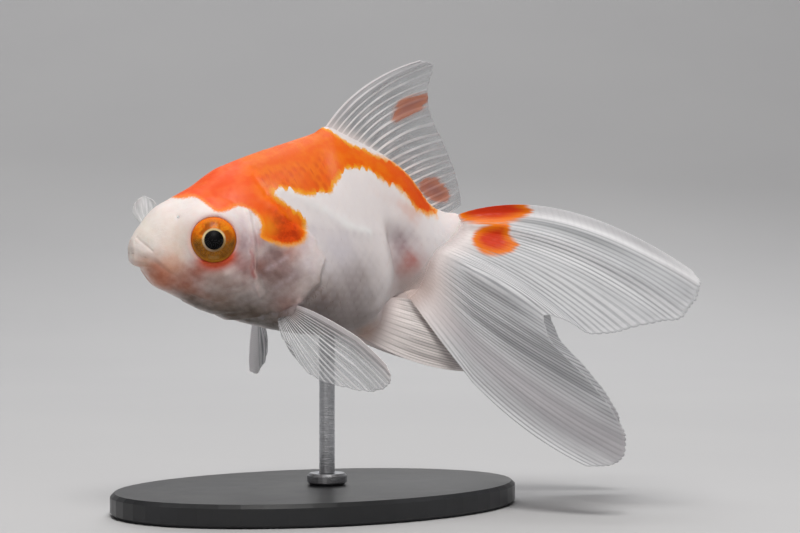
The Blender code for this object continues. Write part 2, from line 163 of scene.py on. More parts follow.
# %% Body sections
BODY = np.array([
    (0.0, 1.0, -1.6, -0.3, 0.9, 2.0, 2.0), (0.7, 2.4, -2.4, -0.2, 2.0, 2.0, 2.0),
    (2.0, 4.2, -3.1, -0.1, 3.3, 2.0, 2.0), (4.0, 6.5, -5.5, 0.0, 4.8, 1.9, 2.0),
    (6.5, 8.0, -6.7, 0.2, 6.2, 1.9, 2.0), (10.5, 10.2, -8.6, 0.3, 7.9, 1.9, 2.0),
    (15.0, 13.1, -10.5, -0.4, 9.3, 1.8, 2.0), (20.0, 15.2, -11.7, -1.4, 10.1, 1.7, 2.1),
    (26.0, 17.2, -13.0, -2.4, 10.6, 1.7, 2.1), (30.5, 18.7, -13.5, -3.0, 10.9, 1.6, 2.2),
    (33.4, 19.6, -13.6, -3.2, 10.9, 1.6, 2.2), (36.5, 18.4, -13.5, -3.4, 10.7, 1.6, 2.2),
    (40.5, 16.5, -12.2, -3.4, 9.5, 1.6, 2.2), (43.5, 14.9, -9.6, -1.8, 7.4, 1.6, 2.1),
    (47.0, 12.0, -7.6, 0.6, 5.2, 1.7, 2.0), (51.0, 6.9, -6.2, 1.0, 3.7, 1.8, 2.0),
    (55.0, 6.2, -5.2, 0.5, 2.6, 1.9, 2.0), (58.0, 4.0, -3.6, 0.2, 1.4, 2.0, 2.0),
])  # fmt: skip


def body_measures(x):
    """Top, bottom, widest height, half width and the two fullnesses at x, smooth through the rows."""
    places, rows = BODY[:, 0], BODY[:, 1:]
    low = np.maximum(np.arange(len(BODY)) - 1, 0)
    high = np.minimum(np.arange(len(BODY)) + 1, len(BODY) - 1)
    slopes = (rows[high] - rows[low]) / (places[high] - places[low])[:, None]
    i = np.clip(np.searchsorted(places, x, side="right") - 1, 0, len(BODY) - 2)
    span = places[i + 1] - places[i]
    return hermite(rows[i], rows[i + 1], slopes[i] * span, slopes[i + 1] * span, (x - places[i]) / span)


def half_section(x, count):
    """count + 1 evenly spaced (y, z) down one side of the section at x, and the length of that side."""
    top, bottom, middle, half, upper, lower = body_measures(x)
    angle = np.linspace(math.pi / 2, -math.pi / 2, 361)
    across, up = np.maximum(np.cos(angle), 0), np.sin(angle)
    power = 2 / np.where(up > 0, upper, lower)
    reach = np.where(up > 0, top - middle, middle - bottom)
    y = across**power * half
    z = middle + np.sign(up) * np.abs(up) ** power * reach
    run = np.concatenate([[0], np.cumsum(np.hypot(np.diff(y), np.diff(z)))])
    even = np.linspace(0, run[-1], count + 1)
    return np.stack([np.interp(even, run, y), np.interp(even, run, z)], -1), run[-1]


print("girth at the deepest place:", round(2 * half_section(33.4, 100)[1], 1), "mm")

# %% [markdown]
# ## The bare skin
# The skin is one closed sheet from the lips to the root of the tail. It could be sculpted by hand, or
# remeshed from the solids. Here a ball with many rings is sent onto the body's sections: its poles become
# the snout and the end of the tail stalk, so there is no seam and no hole. Its rings stand closest together
# on the head, which has the finest shapes. The skin lies a little inside the solids, by the depth of the
# scales.

# %% Rings of the skin
AROUND = 224
COAT_DEPTH = 0.17


def ring_places():
    """The places of the rings along the fish: close on the head, wider apart behind it."""
    x = np.linspace(0.0, BODY[-1, 0], 4000)
    spacing = np.interp(x, (0, 3, 6, 27, 31, 58), (0.06, 0.075, 0.105, 0.11, 0.19, 0.21))
    rings = np.concatenate([[0], np.cumsum(np.diff(x) / spacing[1:])])
    return np.interp(np.arange(int(rings[-1]) + 1), rings, x)


RING_X = ring_places()
RINGS = len(RING_X) - 1
BACK_HEIGHT = np.array([body_measures(x)[0] for x in RING_X])


def bare_skin():
    """Rings of points, straight and in millimetres, and each ring's side length. Column 0 runs along the
    back, and the left side comes first."""
    points = np.zeros((RINGS + 1, AROUND, 3))
    lengths = np.zeros(RINGS + 1)
    for row, x in enumerate(RING_X):
        side, lengths[row] = half_section(x, AROUND // 2)
        points[row, : AROUND // 2 + 1, 1:] = side * (LEFT, 1)
        points[row, AROUND // 2 :, 1:] = (side * (RIGHT, 1))[::-1][:-1]
        points[row, :, 0] = x
    # both ends are rounded off to a point over their last few rings
    last = 8
    for rows, outward in ((range(0, last + 1), -0.35), (range(RINGS, RINGS - last - 1, -1), 0.21)):
        whole = points[rows[last]].copy()
        middle = whole.mean(0)
        for k, row in enumerate(rows):
            size = k / last
            points[row] = middle + (whole - middle) * size**0.8
            points[row, :, 0] = whole[0, 0] + outward * math.sqrt(1 - size**2)
    return points, lengths


def unit(vectors):
    return vectors / (np.linalg.norm(vectors, axis=-1, keepdims=True) + 1e-12)


def skin_normals(points):
    """The way out of the skin at every point. Its left side, a quarter of the way round, looks to -y."""
    round_it = (np.roll(points, -1, 1) - np.roll(points, 1, 1)) / 2
    faces = unit(np.cross(round_it, np.gradient(points, axis=0)))
    faces = faces * -np.sign(faces[RINGS // 2, AROUND // 4, 1])
    faces[0], faces[-1] = (-1, 0, 0), (1, 0, 0)
    return faces


skin, side_length = bare_skin()
out = skin_normals(skin)
print("skin:", RINGS + 1, "rings of", AROUND, "points")

# %% [markdown]
# ## Where the fins stand
# A fin is a fan: a thin sheet between a line of roots and a line of tips, with a bow between them. The same
# few points as in the solids set them. The fans come before the skin's relief, because the skin swells
# where a fin leaves it.

# %% Fans of the fins
FINS = {
    "dorsal_fin": {
        "roots": ((32.0, 0, 18.0), (38.6, 0, 16.0), (45.6, 0, 11.3), (51.6, 0, 5.4)),
        "tips": (
            (49.0, 0, 31.0), (51.2, 0, 30.2), (50.5, 0, 27.2), (50.3, 0, 24.6), (51.0, 0, 21.6),
            (52.4, 0, 18.6), (53.4, 0, 16.3), (54.2, 0, 14.2), (54.9, 0, 12.2), (55.4, 0, 9.9),
            (55.7, 0, 7.6),
        ),
        "bows": ((-1.4, 0, 1.6), (-0.4, 0, 0.6), (0, 0, -0.4)),
    },
    "pectoral_fin_left": {
        "roots": ((23.6, 7.0, -8.2), (22.0, 6.4, -10.6)),
        "tips": (
            (35.2, 22.0, -17.4), (35.9, 22.6, -19.4), (34.4, 22.0, -20.8), (31.4, 20.6, -21.2),
            (28.0, 18.4, -20.8), (25.2, 15.8, -19.8), (23.2, 12.8, -17.6), (22.2, 9.8, -14.2),
        ),
        "bows": ((-1.9, 0, 1.9), (0, -0.8, -0.2), (-0.3, 0, -0.6)),
    },
    "pectoral_fin_right": {
        "roots": ((24.0, 7.0, -9.0), (24.8, 6.0, -11.0)),
        "tips": (
            (29.6, 22.0, -20.2), (30.4, 21.2, -20.7), (30.2, 18.8, -19.4), (30.0, 16.4, -18.3),
            (29.2, 13.8, -17.0), (27.8, 11.0, -15.0), (26.6, 8.6, -13.2),
        ),
        "bows": ((-0.4, 0, 0), (0.4, 0, 0.2), (0.2, 0, 0)),
    },
    "pelvic_fin": {
        "roots": ((36.0, 2.8, -12.4), (43.4, 2.2, -7.4)),
        "tips": (
            (56.8, 6.0, -19.2), (58.0, 6.0, -17.4), (57.2, 5.6, -14.8), (54.4, 4.4, -12.0), (50.4, 3.4, -8.6),
        ),
        "bows": ((0, 0.3, -1.6), (0, 0.5, -0.4), (0, 0.2, 0.2)),
    },
    "anal_fin": {
        "roots": ((43.6, 1.2, -7.2), (50.0, 1.2, -4.6)),
        "tips": ((57.4, 3.2, -16.2), (59.4, 3.3, -15.2), (60.0, 3.1, -12.4), (57.6, 2.4, -8.6)),
        "bows": ((0, 0.2, -0.6), (0, 0.3, 0), (0, 0.2, 0)),
    },
    "tail_upper": {
        "roots": ((54.6, 0.8, 5.7), (52.6, 1.6, 2.8), (50.0, 2.6, 0.4)),
        "tips": (
            (92.6, 8.6, -3.4), (93.6, 9.4, -5.4), (92.4, 10.2, -8.2), (90.2, 11.2, -10.7),
            (86.0, 12.4, -11.2), (81.0, 13.4, -12.5), (76.4, 13.8, -13.0), (72.6, 13.4, -10.8),
            (69.6, 13.0, -9.8),
        ),
        "bows": ((-1.4, -1.0, 5.5), (0, 0, 3.2), (0, 0.4, 0.9)),
    },
    "tail_lower": {
        "roots": ((49.7, 2.6, 0.0), (47.3, 2.7, -2.4), (44.6, 2.4, -4.6)),
        "tips": (
            (69.0, 13.2, -10.4), (70.6, 14.4, -14.2), (75.0, 15.4, -18.8), (79.4, 16.0, -24.0),
            (81.8, 16.5, -28.6), (80.6, 16.6, -32.4), (76.0, 16.2, -33.2),
        ),
        "bows": ((0, 0.4, 0.7), (-0.6, 0.4, -1.2), (-0.6, 1.0, -3.5)),
    },
}  # fmt: skip


def fan(kind, across, along):
    """Points of a fin: across runs over its rays from 0 to 1, and along runs from root to tip. y is the
    distance from the middle of the fish."""
    fin = FINS[kind]
    root, tip, bow = (through(fin[part], across) for part in ("roots", "tips", "bows"))
    along = along[..., None]
    return root + (tip - root) * along + bow * (4 * along * (1 - along))


def tail_half(across, along):
    """Both lobes of one half of the tail as one fan: the upper for 0 to 1, and the lower for 1 to 2."""
    share = step(0.96, 1.04, across)[..., None]
    return fan("tail_upper", across, along) * (1 - share) + fan("tail_lower", across - 1, along) * share


print("fans:", len(FINS))

# %% [markdown]
# ## Folds, lips and plates
# A fish's head is thin skin over bone, so it shows ridges and grooves: two rolled lips, the crease of the
# upper jaw, pits of the nostrils, the edge of the cheek plate, fine folds of the throat, and the gill cover
# with its free rear edge. Further back a soft ridge runs down the shoulder, the full belly ends in a
# rounded rim with a hollow behind it, and flesh swells where each fin leaves the body. Each is a short line
# with a width and a height. One loop lifts or sinks the skin along all of them, on both sides alike.

# %% Relief of the head and belly
# (line, half width, height). Lines of two numbers (x, z) are drawn on the side, and lines of three also say
# how far from the middle (x, w, z).
LINES = {
    "mouth slit": (((-0.6, 0.0, -0.45), (0.4, 1.0, -0.5), (1.1, 1.9, -0.75), (1.8, 2.6, -1.15)), 0.15, -0.26),
    "upper lip": (((0.1, 0.0, 0.5), (0.5, 1.2, 0.4), (1.2, 2.2, 0.0), (1.9, 2.9, -0.5)), 0.5, 0.10),
    "lower lip": (((0.25, 0.0, -1.4), (0.8, 1.2, -1.5), (1.5, 2.1, -1.8), (2.2, 2.8, -2.0)), 0.42, 0.16),
    "jaw crease": (((0.9, 1.2, 1.9), (1.2, 2.0, 1.3), (1.8, 2.9, 0.6), (2.5, 3.5, -0.2)), 0.2, -0.22),
    "cheek behind the jaw": (((1.7, 1.8, 2.8), (2.6, 3.2, 1.6), (3.6, 4.3, 0.0)), 0.8, 0.10),
    "chin crease": (((1.4, 0.0, -3.0), (2.2, 1.6, -2.9), (2.9, 2.7, -2.8)), 0.3, -0.16),
    "jaw edge": (((2.9, 3.5, -1.9), (4.6, 4.4, -3.6), (6.6, 5.2, -4.9), (8.4, 6.0, -5.8)), 0.5, -0.16),
    "front nostril": (((6.3, 4.3, 5.0), (6.5, 4.4, 4.9)), 0.3, -0.2),
    "rear nostril": (((7.2, 4.6, 4.8), (7.4, 4.7, 4.6)), 0.3, -0.2),
    "nostril rim": (((6.9, 4.3, 5.5), (7.8, 4.8, 5.1), (7.9, 5.0, 4.3)), 0.35, 0.08),
    "eyelid furrow": (((14.4, 6.0), (15.4, 3.6), (16.0, 1.4)), 0.35, -0.14),
    "fold behind the eye": (((13.7, 6.4), (14.7, 4.2), (15.3, 1.9), (15.4, -0.6)), 0.42, 0.16),
    "cheek plate edge": (
        ((16.2, 6.0), (16.5, 3.4), (16.6, 0.6), (16.4, -2.4), (17.0, -5.2), (18.2, -7.2)), 0.3, 0.26,
    ),
    "cheek plate groove": (
        ((17.0, 5.4), (17.3, 2.4), (17.4, -0.6), (17.2, -3.0), (17.9, -5.2), (19.2, -6.8)), 0.36, -0.26,
    ),
    "plate under the eye": (((8.6, -3.6), (10.8, -4.2), (13.2, -4.0), (15.2, -2.6)), 0.7, 0.14),
    "furrow under it": (((8.4, -5.0), (10.4, -5.9), (13.0, -6.3), (15.2, -5.6)), 0.35, -0.16),
    "throat fold": (((9.0, -7.2), (9.8, -7.6), (10.8, -8.0), (12.5, -8.4), (14.4, -8.3)), 0.22, -0.24),
    "throat roll": (((9.3, -8.1), (10.6, -8.7), (12.4, -9.2), (14.6, -9.4)), 0.35, 0.16),
    "throat arc": (((14.2, -10.2), (15.1, -10.0), (17.7, -9.7), (19.6, -9.0)), 0.2, -0.16),
    "second throat arc": (((15.0, -10.9), (17.0, -10.7), (19.4, -10.2)), 0.22, 0.14),
    "gill plate ridge": (((17.8, 4.6), (20.6, 1.8), (23.0, -0.6), (25.0, -3.4)), 0.9, 0.14),
    "gill plate hollow": (((19.2, -1.2), (21.2, -2.8), (22.8, -4.6)), 1.0, -0.16),
    "bump of the nape": (((12.4, 0.0, 11.6), (13.8, 0.0, 12.5)), 1.8, 0.2),
    "shoulder ridge": (((22.4, 9.5), (27.6, 7.0), (33.0, 3.9), (37.6, 2.9)), 1.1, 0.2),
    "arm ridge": (((21.4, -9.4), (22.8, -8.6), (23.8, -9.6), (23.2, -11.2)), 0.8, 0.34),
    "pelvic root": (((36.2, 2.6, -13.0), (38.6, 2.9, -12.4), (41.0, 2.8, -10.2)), 1.1, 0.42),
    "vent": (((42.4, 0.0, -9.8), (43.2, 0.0, -9.0)), 0.5, -0.35),
}  # fmt: skip
GILL_EDGE = (
    (18.6, 13.0), (19.0, 10.6), (20.2, 8.0), (22.6, 4.4), (26.2, 1.8), (27.7, -1.2), (27.2, -4.8),
    (25.0, -7.6), (20.6, -9.6), (17.0, -11.4), (16.0, -16.0),
)  # fmt: skip
BELLY_RIM = (
    (40.2, 7.4), (40.9, 4.6), (41.6, 2.0), (42.3, -0.2), (43.0, -2.9), (43.2, -5.4), (42.4, -7.8),
    (40.7, -9.7), (38.3, -11.4),
)  # fmt: skip
NOSTRILS = ("front nostril", "rear nostril")


def behind_line(points, line):
    """Signed distance in side view: positive behind a line that runs down the fish."""
    x_there = np.interp(-points[..., 1], [-z for _, z in line], [x for x, _ in line])
    return np.where(points[..., 0] > x_there, 1, -1) * distance_to_line(points, line)


def folded(points):
    """Both sides laid on one: the distance from the middle takes the place of y."""
    return np.stack([points[..., 0], np.abs(points[..., 1]), points[..., 2]], -1)


def near_fins(points):
    """How far points are from the root of the nearest fin, the tail apart, in millimetres."""
    one_side = folded(points).reshape(-1, 3)
    side = np.where(points[..., 1] < 0, LEFT, RIGHT).ravel()
    nearest = np.full(len(one_side), 9.0)  # far from all of them
    along, across = np.meshgrid(np.linspace(0.0, 0.2, 32), np.linspace(0, 1, 48))
    for kind in (kind for kind in FINS if not kind.startswith("tail")):
        sheet = fan(kind, across, along).reshape(-1, 3)
        close = ((one_side > sheet.min(0) - 3) & (one_side < sheet.max(0) + 3)).all(1)
        if kind.startswith("pectoral"):
            close &= side == SIDES[kind.split("_")[-1]]
        for some in np.array_split(np.flatnonzero(close), 12):
            apart = np.linalg.norm(one_side[some][:, None] - sheet[None], axis=-1)
            nearest[some] = np.minimum(nearest[some], apart.min(1))
    return nearest.reshape(points.shape[:-1])


def relief(points):
    """How far the skin is lifted at each point, in millimetres."""
    one_side = folded(points)
    side_view = one_side[..., (0, 2)]
    lift = np.zeros(points.shape[:-1])
    for line, width, height in LINES.values():
        where = one_side if len(line[0]) == 3 else side_view
        lift += height * hump(distance_to_line(where, line), width)

    # the gill cover's free edge stands proud, with a groove behind it
    z = side_view[..., 1]
    behind = behind_line(side_view, GILL_EDGE) + softly(one_side, 0.3, 2.0)
    on_cover = step(-11.5, -8.5, z) * (1 - step(6.0, 9.0, z))
    lift += on_cover * 0.30 * step(-2.6, -0.1, behind) * (1 - step(0.0, 0.34, behind))
    lift -= on_cover * (0.2 - 0.1 * step(-6.0, -1.0, z)) * hump(behind - 0.6, 0.6)
    lift -= (1 - on_cover) * 0.10 * hump(behind, 0.5) * (np.abs(z) < 13)

    # the belly ends in a rim, with a hollow behind it
    belly = behind_line(side_view, BELLY_RIM)
    on_rim = step(-11.5, -9.0, z) * (1 - step(1.0, 5.5, z))
    hollow = step(-0.3, 1.4, belly) * (1 - step(2.5, 8.0, belly))
    lift += on_rim * (0.4 * hump(belly + 1.1, 0.9) - 1.35 * hollow)
    swelling = 0.45 * hump(near_fins(points), 0.8)
    return lift + swelling


skin = skin + out * (relief(skin) - COAT_DEPTH)[..., None]
print("relief lines:", len(LINES))

# %% [markdown]
# ## Seats for the eyes
# The eye is a ball that stands out of the head by a third of its width. The skin rises round it in a soft
# mound, ends in a thin rolled rim against the ball, and carries on unseen behind it as a bowl. Moving the
# skin's own points along the eye's axis keeps it in one piece, where cutting a hole would leave an edge to
# close.

# %% Eye seats
EYE_TURN, EYE_DROP = math.radians(19.5), math.radians(4.0)  # the eyes look a little forward and down


def eye_axis(side):
    level = math.cos(EYE_DROP)
    return np.array((-math.sin(EYE_TURN) * level, side * math.cos(EYE_TURN) * level, -math.sin(EYE_DROP)))


def seat_an_eye(points, side):
    """Draws the skin up round the eye of one side and down behind it."""
    axis = eye_axis(side)
    apart = points - EYE * (1, side, 1)
    height = apart @ axis
    ring = np.linalg.norm(apart - height[..., None] * axis, axis=-1)
    # how high the skin stands along the axis, by its distance from it: bowl, rolled rim, mound
    profile = (0, 3.0, 3.3, 3.45, 3.6, 3.9, 4.3, 5.2), (0.9, 0.9, 2.1, 2.42, 2.5, 2.44, 2.26, 2.0)
    rim = np.interp(ring, *profile)
    share = (1 - step(4.0, 6.4, ring)) * (height > -2.5)
    return points + axis * (share * (rim - height))[..., None]


for side in SIDES.values():
    skin = seat_an_eye(skin, side)
out = skin_normals(skin)
print("eye seats at", [np.round(EYE * (1, side, 1), 1).tolist() for side in SIDES.values()])

# %% [markdown]
# ## Where the colours lie
# This fish has a coral cap, an orange saddle with amber fringes, a patch on each gill cover and two on the
# tail. A marking is a closed outline of a few points in side view. For every point of skin, scale or fin,
# the depth inside the outline is stored with the mesh, and the finish turns that depth into colour. So skin
# and scales share the same markings, and the edge stays crisp however near one looks.

# %% Outlines of the markings
CAP_AND_SADDLE = (
    (6.6, 8.4), (7.6, 7.9), (9.6, 8.0), (10.7, 5.9), (12.6, 5.9), (15.2, 6.7), (17.4, 5.5), (18.1, 3.7),
    (17.9, 1.9), (21.4, 0.6), (24.6, 1.3), (25.5, 4.3), (24.3, 6.2), (21.8, 7.7), (20.9, 9.1), (23.2, 9.6),
    (26.5, 8.5), (27.7, 8.9), (30.6, 9.1), (32.0, 10.7), (33.9, 12.6), (37.0, 13.1), (39.9, 12.2),
    (42.2, 10.7), (44.8, 9.9), (46.6, 8.0), (47.9, 6.5), (49.8, 5.8), (51.2, 6.0), (51.7, 7.4),
    (51.8, 30.0), (6.0, 30.0), (5.8, 9.6),
)  # fmt: skip
RIGHT_CAP_AND_SADDLE = (
    (6.8, 8.2), (8.6, 7.2), (11.0, 6.1), (13.6, 6.6), (16.2, 5.4), (17.0, 3.0), (19.6, 1.6), (22.4, 3.4),
    (22.2, 6.6), (24.0, 9.4), (28.4, 8.2), (31.4, 6.4), (34.6, 7.8), (36.0, 10.6), (39.2, 11.6),
    (43.0, 9.6), (46.4, 8.6), (49.6, 7.0), (51.4, 8.4), (51.4, 30.0), (6.0, 30.0), (5.8, 9.6),
)  # fmt: skip
TAIL_MARKS = {
    LEFT: (
        (
            (55.4, 6.8), (58.4, 8.6), (61.4, 9.0), (64.2, 8.8), (67.2, 6.6), (66.4, 5.6), (63.4, 4.5),
            (60.4, 4.1), (55.9, 4.9),
        ),
        (
            (58.0, 3.0), (59.8, 4.2), (63.3, 4.7), (63.8, 2.4), (65.2, 0.9), (63.4, -0.4), (61.4, -0.8),
            (59.1, -0.2), (57.7, 1.4),
        ),
    ),
    RIGHT: (((56.0, 6.0), (60.2, 8.0), (64.0, 7.2), (63.4, 5.6), (59.4, 4.6)),),
}  # fmt: skip
DORSAL_MARKS = (
    ((44.3, 21.6), (45.9, 24.7), (50.4, 25.6), (49.4, 23.0), (45.2, 20.9)),
    ((48.6, 9.9), (49.8, 11.9), (52.2, 11.6), (53.9, 9.0), (51.9, 7.8)),
)


def rounded(outline, steps=6):
    """A closed outline with its corners rounded."""
    keys = np.asarray(outline, float)
    places = []
    for k in range(len(keys)):
        four = keys[[(k + j - 1) % len(keys) for j in range(4)]]
        places.extend(through(four, np.linspace(1 / 3, 2 / 3, steps, endpoint=False)).tolist())
    return places


def body_marking(points):
    """How deep in the cap or saddle a point lies, 2 mm at most. A white strip runs beside the dorsal fin."""
    side_view = points[..., (0, 2)]
    left = depth_inside(side_view, rounded(CAP_AND_SADDLE))
    right = depth_inside(side_view, rounded(RIGHT_CAP_AND_SADDLE))
    share = step(-1.5, 1.5, points[..., 1])
    depth = left * (1 - share) + right * share
    x = points[..., 0]
    below_back = np.interp(x, RING_X, BACK_HEIGHT) - points[..., 2]
    strip = np.interp(x, (32, 33.4, 35.3, 37.5, 41.7, 43.5, 45), (-1, 0.4, 1.2, 1.1, 0.6, 0.1, -0.4))
    return np.clip(np.minimum(depth, below_back - strip), -2, 2)


print("cap and saddle:", len(rounded(CAP_AND_SADDLE)), "points round")

# %% [markdown]
# ## Soft tints and painted shade under the markings
# The white of a goldfish isn't one white. Blood shows pink in the cheek and in a spot behind the belly, the
# jaw is tan, and the gill cover is greyish where the dark gills lie under it. The throat, the lower flank and
# the belly get darker brown and grey blobs, and the hollow behind the belly's rim a dark lilac: painted shade,
# as if the light fell from above. Each tint is a soft blob with a place, a reach, a colour and a strength,
# laid on one after the other like thin paint. Finer strokes follow them along the plates and folds of the
# head. On the body they lay a painted highlight along the shoulder ridge and the belly's rim, and painted
# shade in the hollow behind the rim and under the throat.

# %% Tints of the skin
WHITE = (247, 236, 234)
TINTS_AND_SHADES = (  # place (x, w, z), reach, colour, strength
    ((2.0, 1.0, 3.0), 4.4, (244, 236, 228), 0.95),
    ((6.5, 5.0, 1.0), 3.0, (244, 226, 210), 0.7),
    ((1.8, 2.0, -2.4), 1.8, (214, 178, 156), 0.85),
    ((5.2, 4.4, -2.6), 2.4, (240, 188, 156), 0.8),
    ((3.8, 3.4, -4.6), 2.2, (212, 122, 80), 0.85),
    ((6.8, 5.0, -6.0), 2.8, (184, 100, 66), 0.85),
    ((8.6, 6.6, -3.4), 1.7, (180, 98, 72), 0.85),
    ((11.2, 8.2, -4.9), 2.2, (180, 142, 126), 0.8),
    ((9.4, 6.4, -7.8), 2.1, (148, 86, 62), 0.85),
    ((13.6, 8.6, -6.4), 2.2, (150, 108, 90), 0.85),
    ((15.1, 9.0, 0.8), 1.8, (178, 142, 148), 0.85),
    ((15.2, 8.8, -3.0), 1.7, (178, 128, 122), 0.8),
    ((15.0, 8.6, 4.2), 1.4, (232, 214, 218), 0.7),
    ((17.6, 9.4, 1.6), 1.3, (190, 146, 146), 0.8),
    ((17.9, 9.4, -2.6), 1.5, (156, 98, 86), 0.85),
    ((20.2, 9.8, -0.8), 2.6, (122, 84, 84), 0.8),
    ((20.4, 9.8, -4.0), 3.4, (132, 100, 94), 0.9),
    ((23.2, 9.8, -3.6), 1.6, (148, 120, 116), 0.7),
    ((25.4, 9.9, -2.2), 1.7, (226, 214, 216), 0.9),
    ((24.6, 9.9, 1.0), 1.3, (216, 192, 196), 0.7),
    # painted shade: these three darken the underside of the throat, as if lit from above
    ((12.0, 5.4, -9.6), 3.4, (104, 84, 62), 0.9),
    ((18.6, 6.6, -10.8), 4.2, (96, 78, 62), 0.9),
    ((23.6, 5.0, -11.6), 3.6, (106, 88, 74), 0.85),
    ((22.6, 8.6, -8.2), 2.3, (146, 104, 96), 0.8),
    # painted shade: these four grey the lower flank and the belly
    ((28.2, 9.4, -7.4), 3.8, (128, 106, 98), 0.85),
    ((30.0, 6.0, -12.4), 6.0, (146, 130, 122), 0.85),
    ((36.4, 7.0, -10.6), 4.6, (168, 152, 146), 0.8),
    ((34.0, 9.8, -4.8), 4.6, (142, 124, 120), 0.8),
    ((31.0, 9.8, 0.2), 3.6, (212, 202, 208), 0.7),
    ((26.6, 10.0, 3.0), 1.8, (226, 214, 218), 0.5),
    # painted shade: the hollow behind the belly's rim, dark lilac
    ((45.4, 6.0, 0.6), 2.6, (138, 88, 98), 0.8),
    ((46.4, 4.4, -3.4), 2.2, (196, 138, 128), 0.8),
    ((47.2, 4.8, -1.8), 1.9, (206, 84, 60), 0.8),
    ((52.5, 2.6, 3.6), 3.6, (244, 236, 236), 0.9),
    ((38.8, 3.0, -12.4), 2.4, (196, 152, 128), 0.7),
    ((46.8, 3.4, -6.6), 2.2, (222, 196, 186), 0.8),
    # painted shade under the throat
    ((15.6, 5.0, -10.4), 3.2, (90, 74, 58), 0.8),
    ((6.4, 2.6, -7.0), 2.6, (158, 108, 86), 0.65),
    ((9.6, 3.6, -8.8), 2.8, (138, 106, 92), 0.65),
    # painted shade under the front of the belly
    ((26.4, 5.0, -12.2), 3.6, (108, 94, 86), 0.8),
    ((50.6, 3.0, -5.4), 3.0, (212, 188, 178), 0.6),
    ((3.0, 1.6, -4.6), 1.8, (190, 128, 98), 0.7),
    ((14.7, 8.6, -1.8), 1.5, (160, 112, 112), 0.6),
    ((22.5, 9.8, -0.2), 1.5, (204, 140, 124), 0.6),
    ((12.9, 5.0, -7.6), 1.8, (176, 148, 134), 0.5),
)
STROKES_OF_TINT_AND_LIGHT = (  # a line (x, w, z), half width, colour, strength
    (((16.4, 9.2, -0.2), (16.5, 9.4, -2.3), (16.8, 9.4, -4.0)), 0.42, (168, 74, 70), 0.75),
    (((16.6, 9.2, 0.2), (16.9, 9.4, -3.1), (17.3, 9.2, -5.1), (17.9, 8.6, -6.5)), 0.26, (226, 196, 190), 0.8),
    (((13.8, 8.6, -6.1), (16.2, 9.0, -5.3)), 0.6, (138, 74, 66), 0.7),
    (((18.9, 9.8, -2.8), (21.9, 10.0, -1.1)), 0.4, (206, 186, 190), 0.6),
    (((18.2, 8.8, -7.2), (20.8, 9.6, -5.5), (23.4, 10.0, -3.4)), 0.5, (202, 184, 186), 0.6),
    (((18.6, 9.4, -0.4), (20.2, 9.8, -2.2), (22.2, 10.0, -3.2)), 0.5, (190, 160, 158), 0.5),
    (((8.4, 6.6, -6.0), (10.6, 7.6, -6.9), (13.4, 8.2, -7.5)), 0.45, (150, 100, 92), 0.6),
    (((9.4, 7.6, -4.6), (12.4, 8.6, -5.2), (14.4, 8.8, -4.2)), 0.8, (228, 212, 208), 0.75),
    (((12.8, 6.6, 6.4), (14.6, 8.2, 4.6), (15.6, 8.8, 2.4), (15.9, 9.0, -0.6)), 0.4, (240, 228, 230), 0.75),
    (((13.8, 7.6, 4.2), (14.6, 8.6, 2.2)), 0.4, (180, 148, 164), 0.6),
    (((9.3, 5.6, -8.3), (10.8, 5.6, -8.8), (13.6, 5.8, -9.3)), 0.26, (206, 184, 172), 0.6),
    (((23.2, 8.4, -9.6), (24.4, 9.0, -8.2), (24.2, 9.2, -6.6)), 0.5, (232, 210, 208), 0.6),
    # a painted highlight along the shoulder ridge
    (((21.6, 9.0, 9.8), (27.6, 9.6, 7.0), (33.0, 10.0, 3.9), (37.6, 9.6, 2.9)), 0.8, (255, 252, 250), 0.7),
    (((29.4, 10.2, -3.6), (29.0, 10.0, -5.6), (29.3, 9.6, -7.6)), 0.3, (198, 178, 172), 0.5),
    (((31.4, 10.2, -4.6), (31.0, 10.0, -6.8), (31.3, 9.4, -8.8)), 0.25, (192, 172, 166), 0.5),
    (((40.6, 8.4, 11.2), (42.6, 7.8, 10.0), (45.0, 6.4, 8.4), (47.8, 4.6, 6.2)), 1.6, (232, 176, 156), 0.75),
    # painted shade in the hollow behind the belly's rim
    (((44.6, 6.6, 2.2), (45.0, 6.4, 0.4), (45.4, 6.0, -2.0), (45.0, 5.4, -4.6)), 1.0, (150, 108, 118), 0.75),
    # a painted highlight along the belly's rim
    (((42.4, 8.4, -0.2), (43.0, 7.9, -2.9), (43.0, 7.2, -5.4), (42.0, 6.4, -7.6)), 0.55, (240, 230, 228), 0.6),
    (((2.2, 2.4, -3.8), (4.1, 3.4, -5.1), (6.2, 4.6, -6.4), (9.2, 5.2, -8.0)), 1.7, (198, 124, 94), 0.6),
    # painted shade along the underside of the throat
    (
        ((8.6, 1.6, -7.9), (11.7, 2.0, -9.2), (16.7, 2.4, -10.8), (20.5, 2.8, -11.5), (25.6, 2.8, -12.8)), 2.0,
        (84, 74, 60), 0.75,
    ),
)  # fmt: skip
EYE_BLUSH = (230, 100, 62)


def linear(colour):
    """A colour written as on screen, 0 to 255, in the linear light that finishes need."""
    c = np.asarray(colour, float) / 255
    return np.where(c <= 0.04045, c / 12.92, ((c + 0.055) / 1.055) ** 2.4)


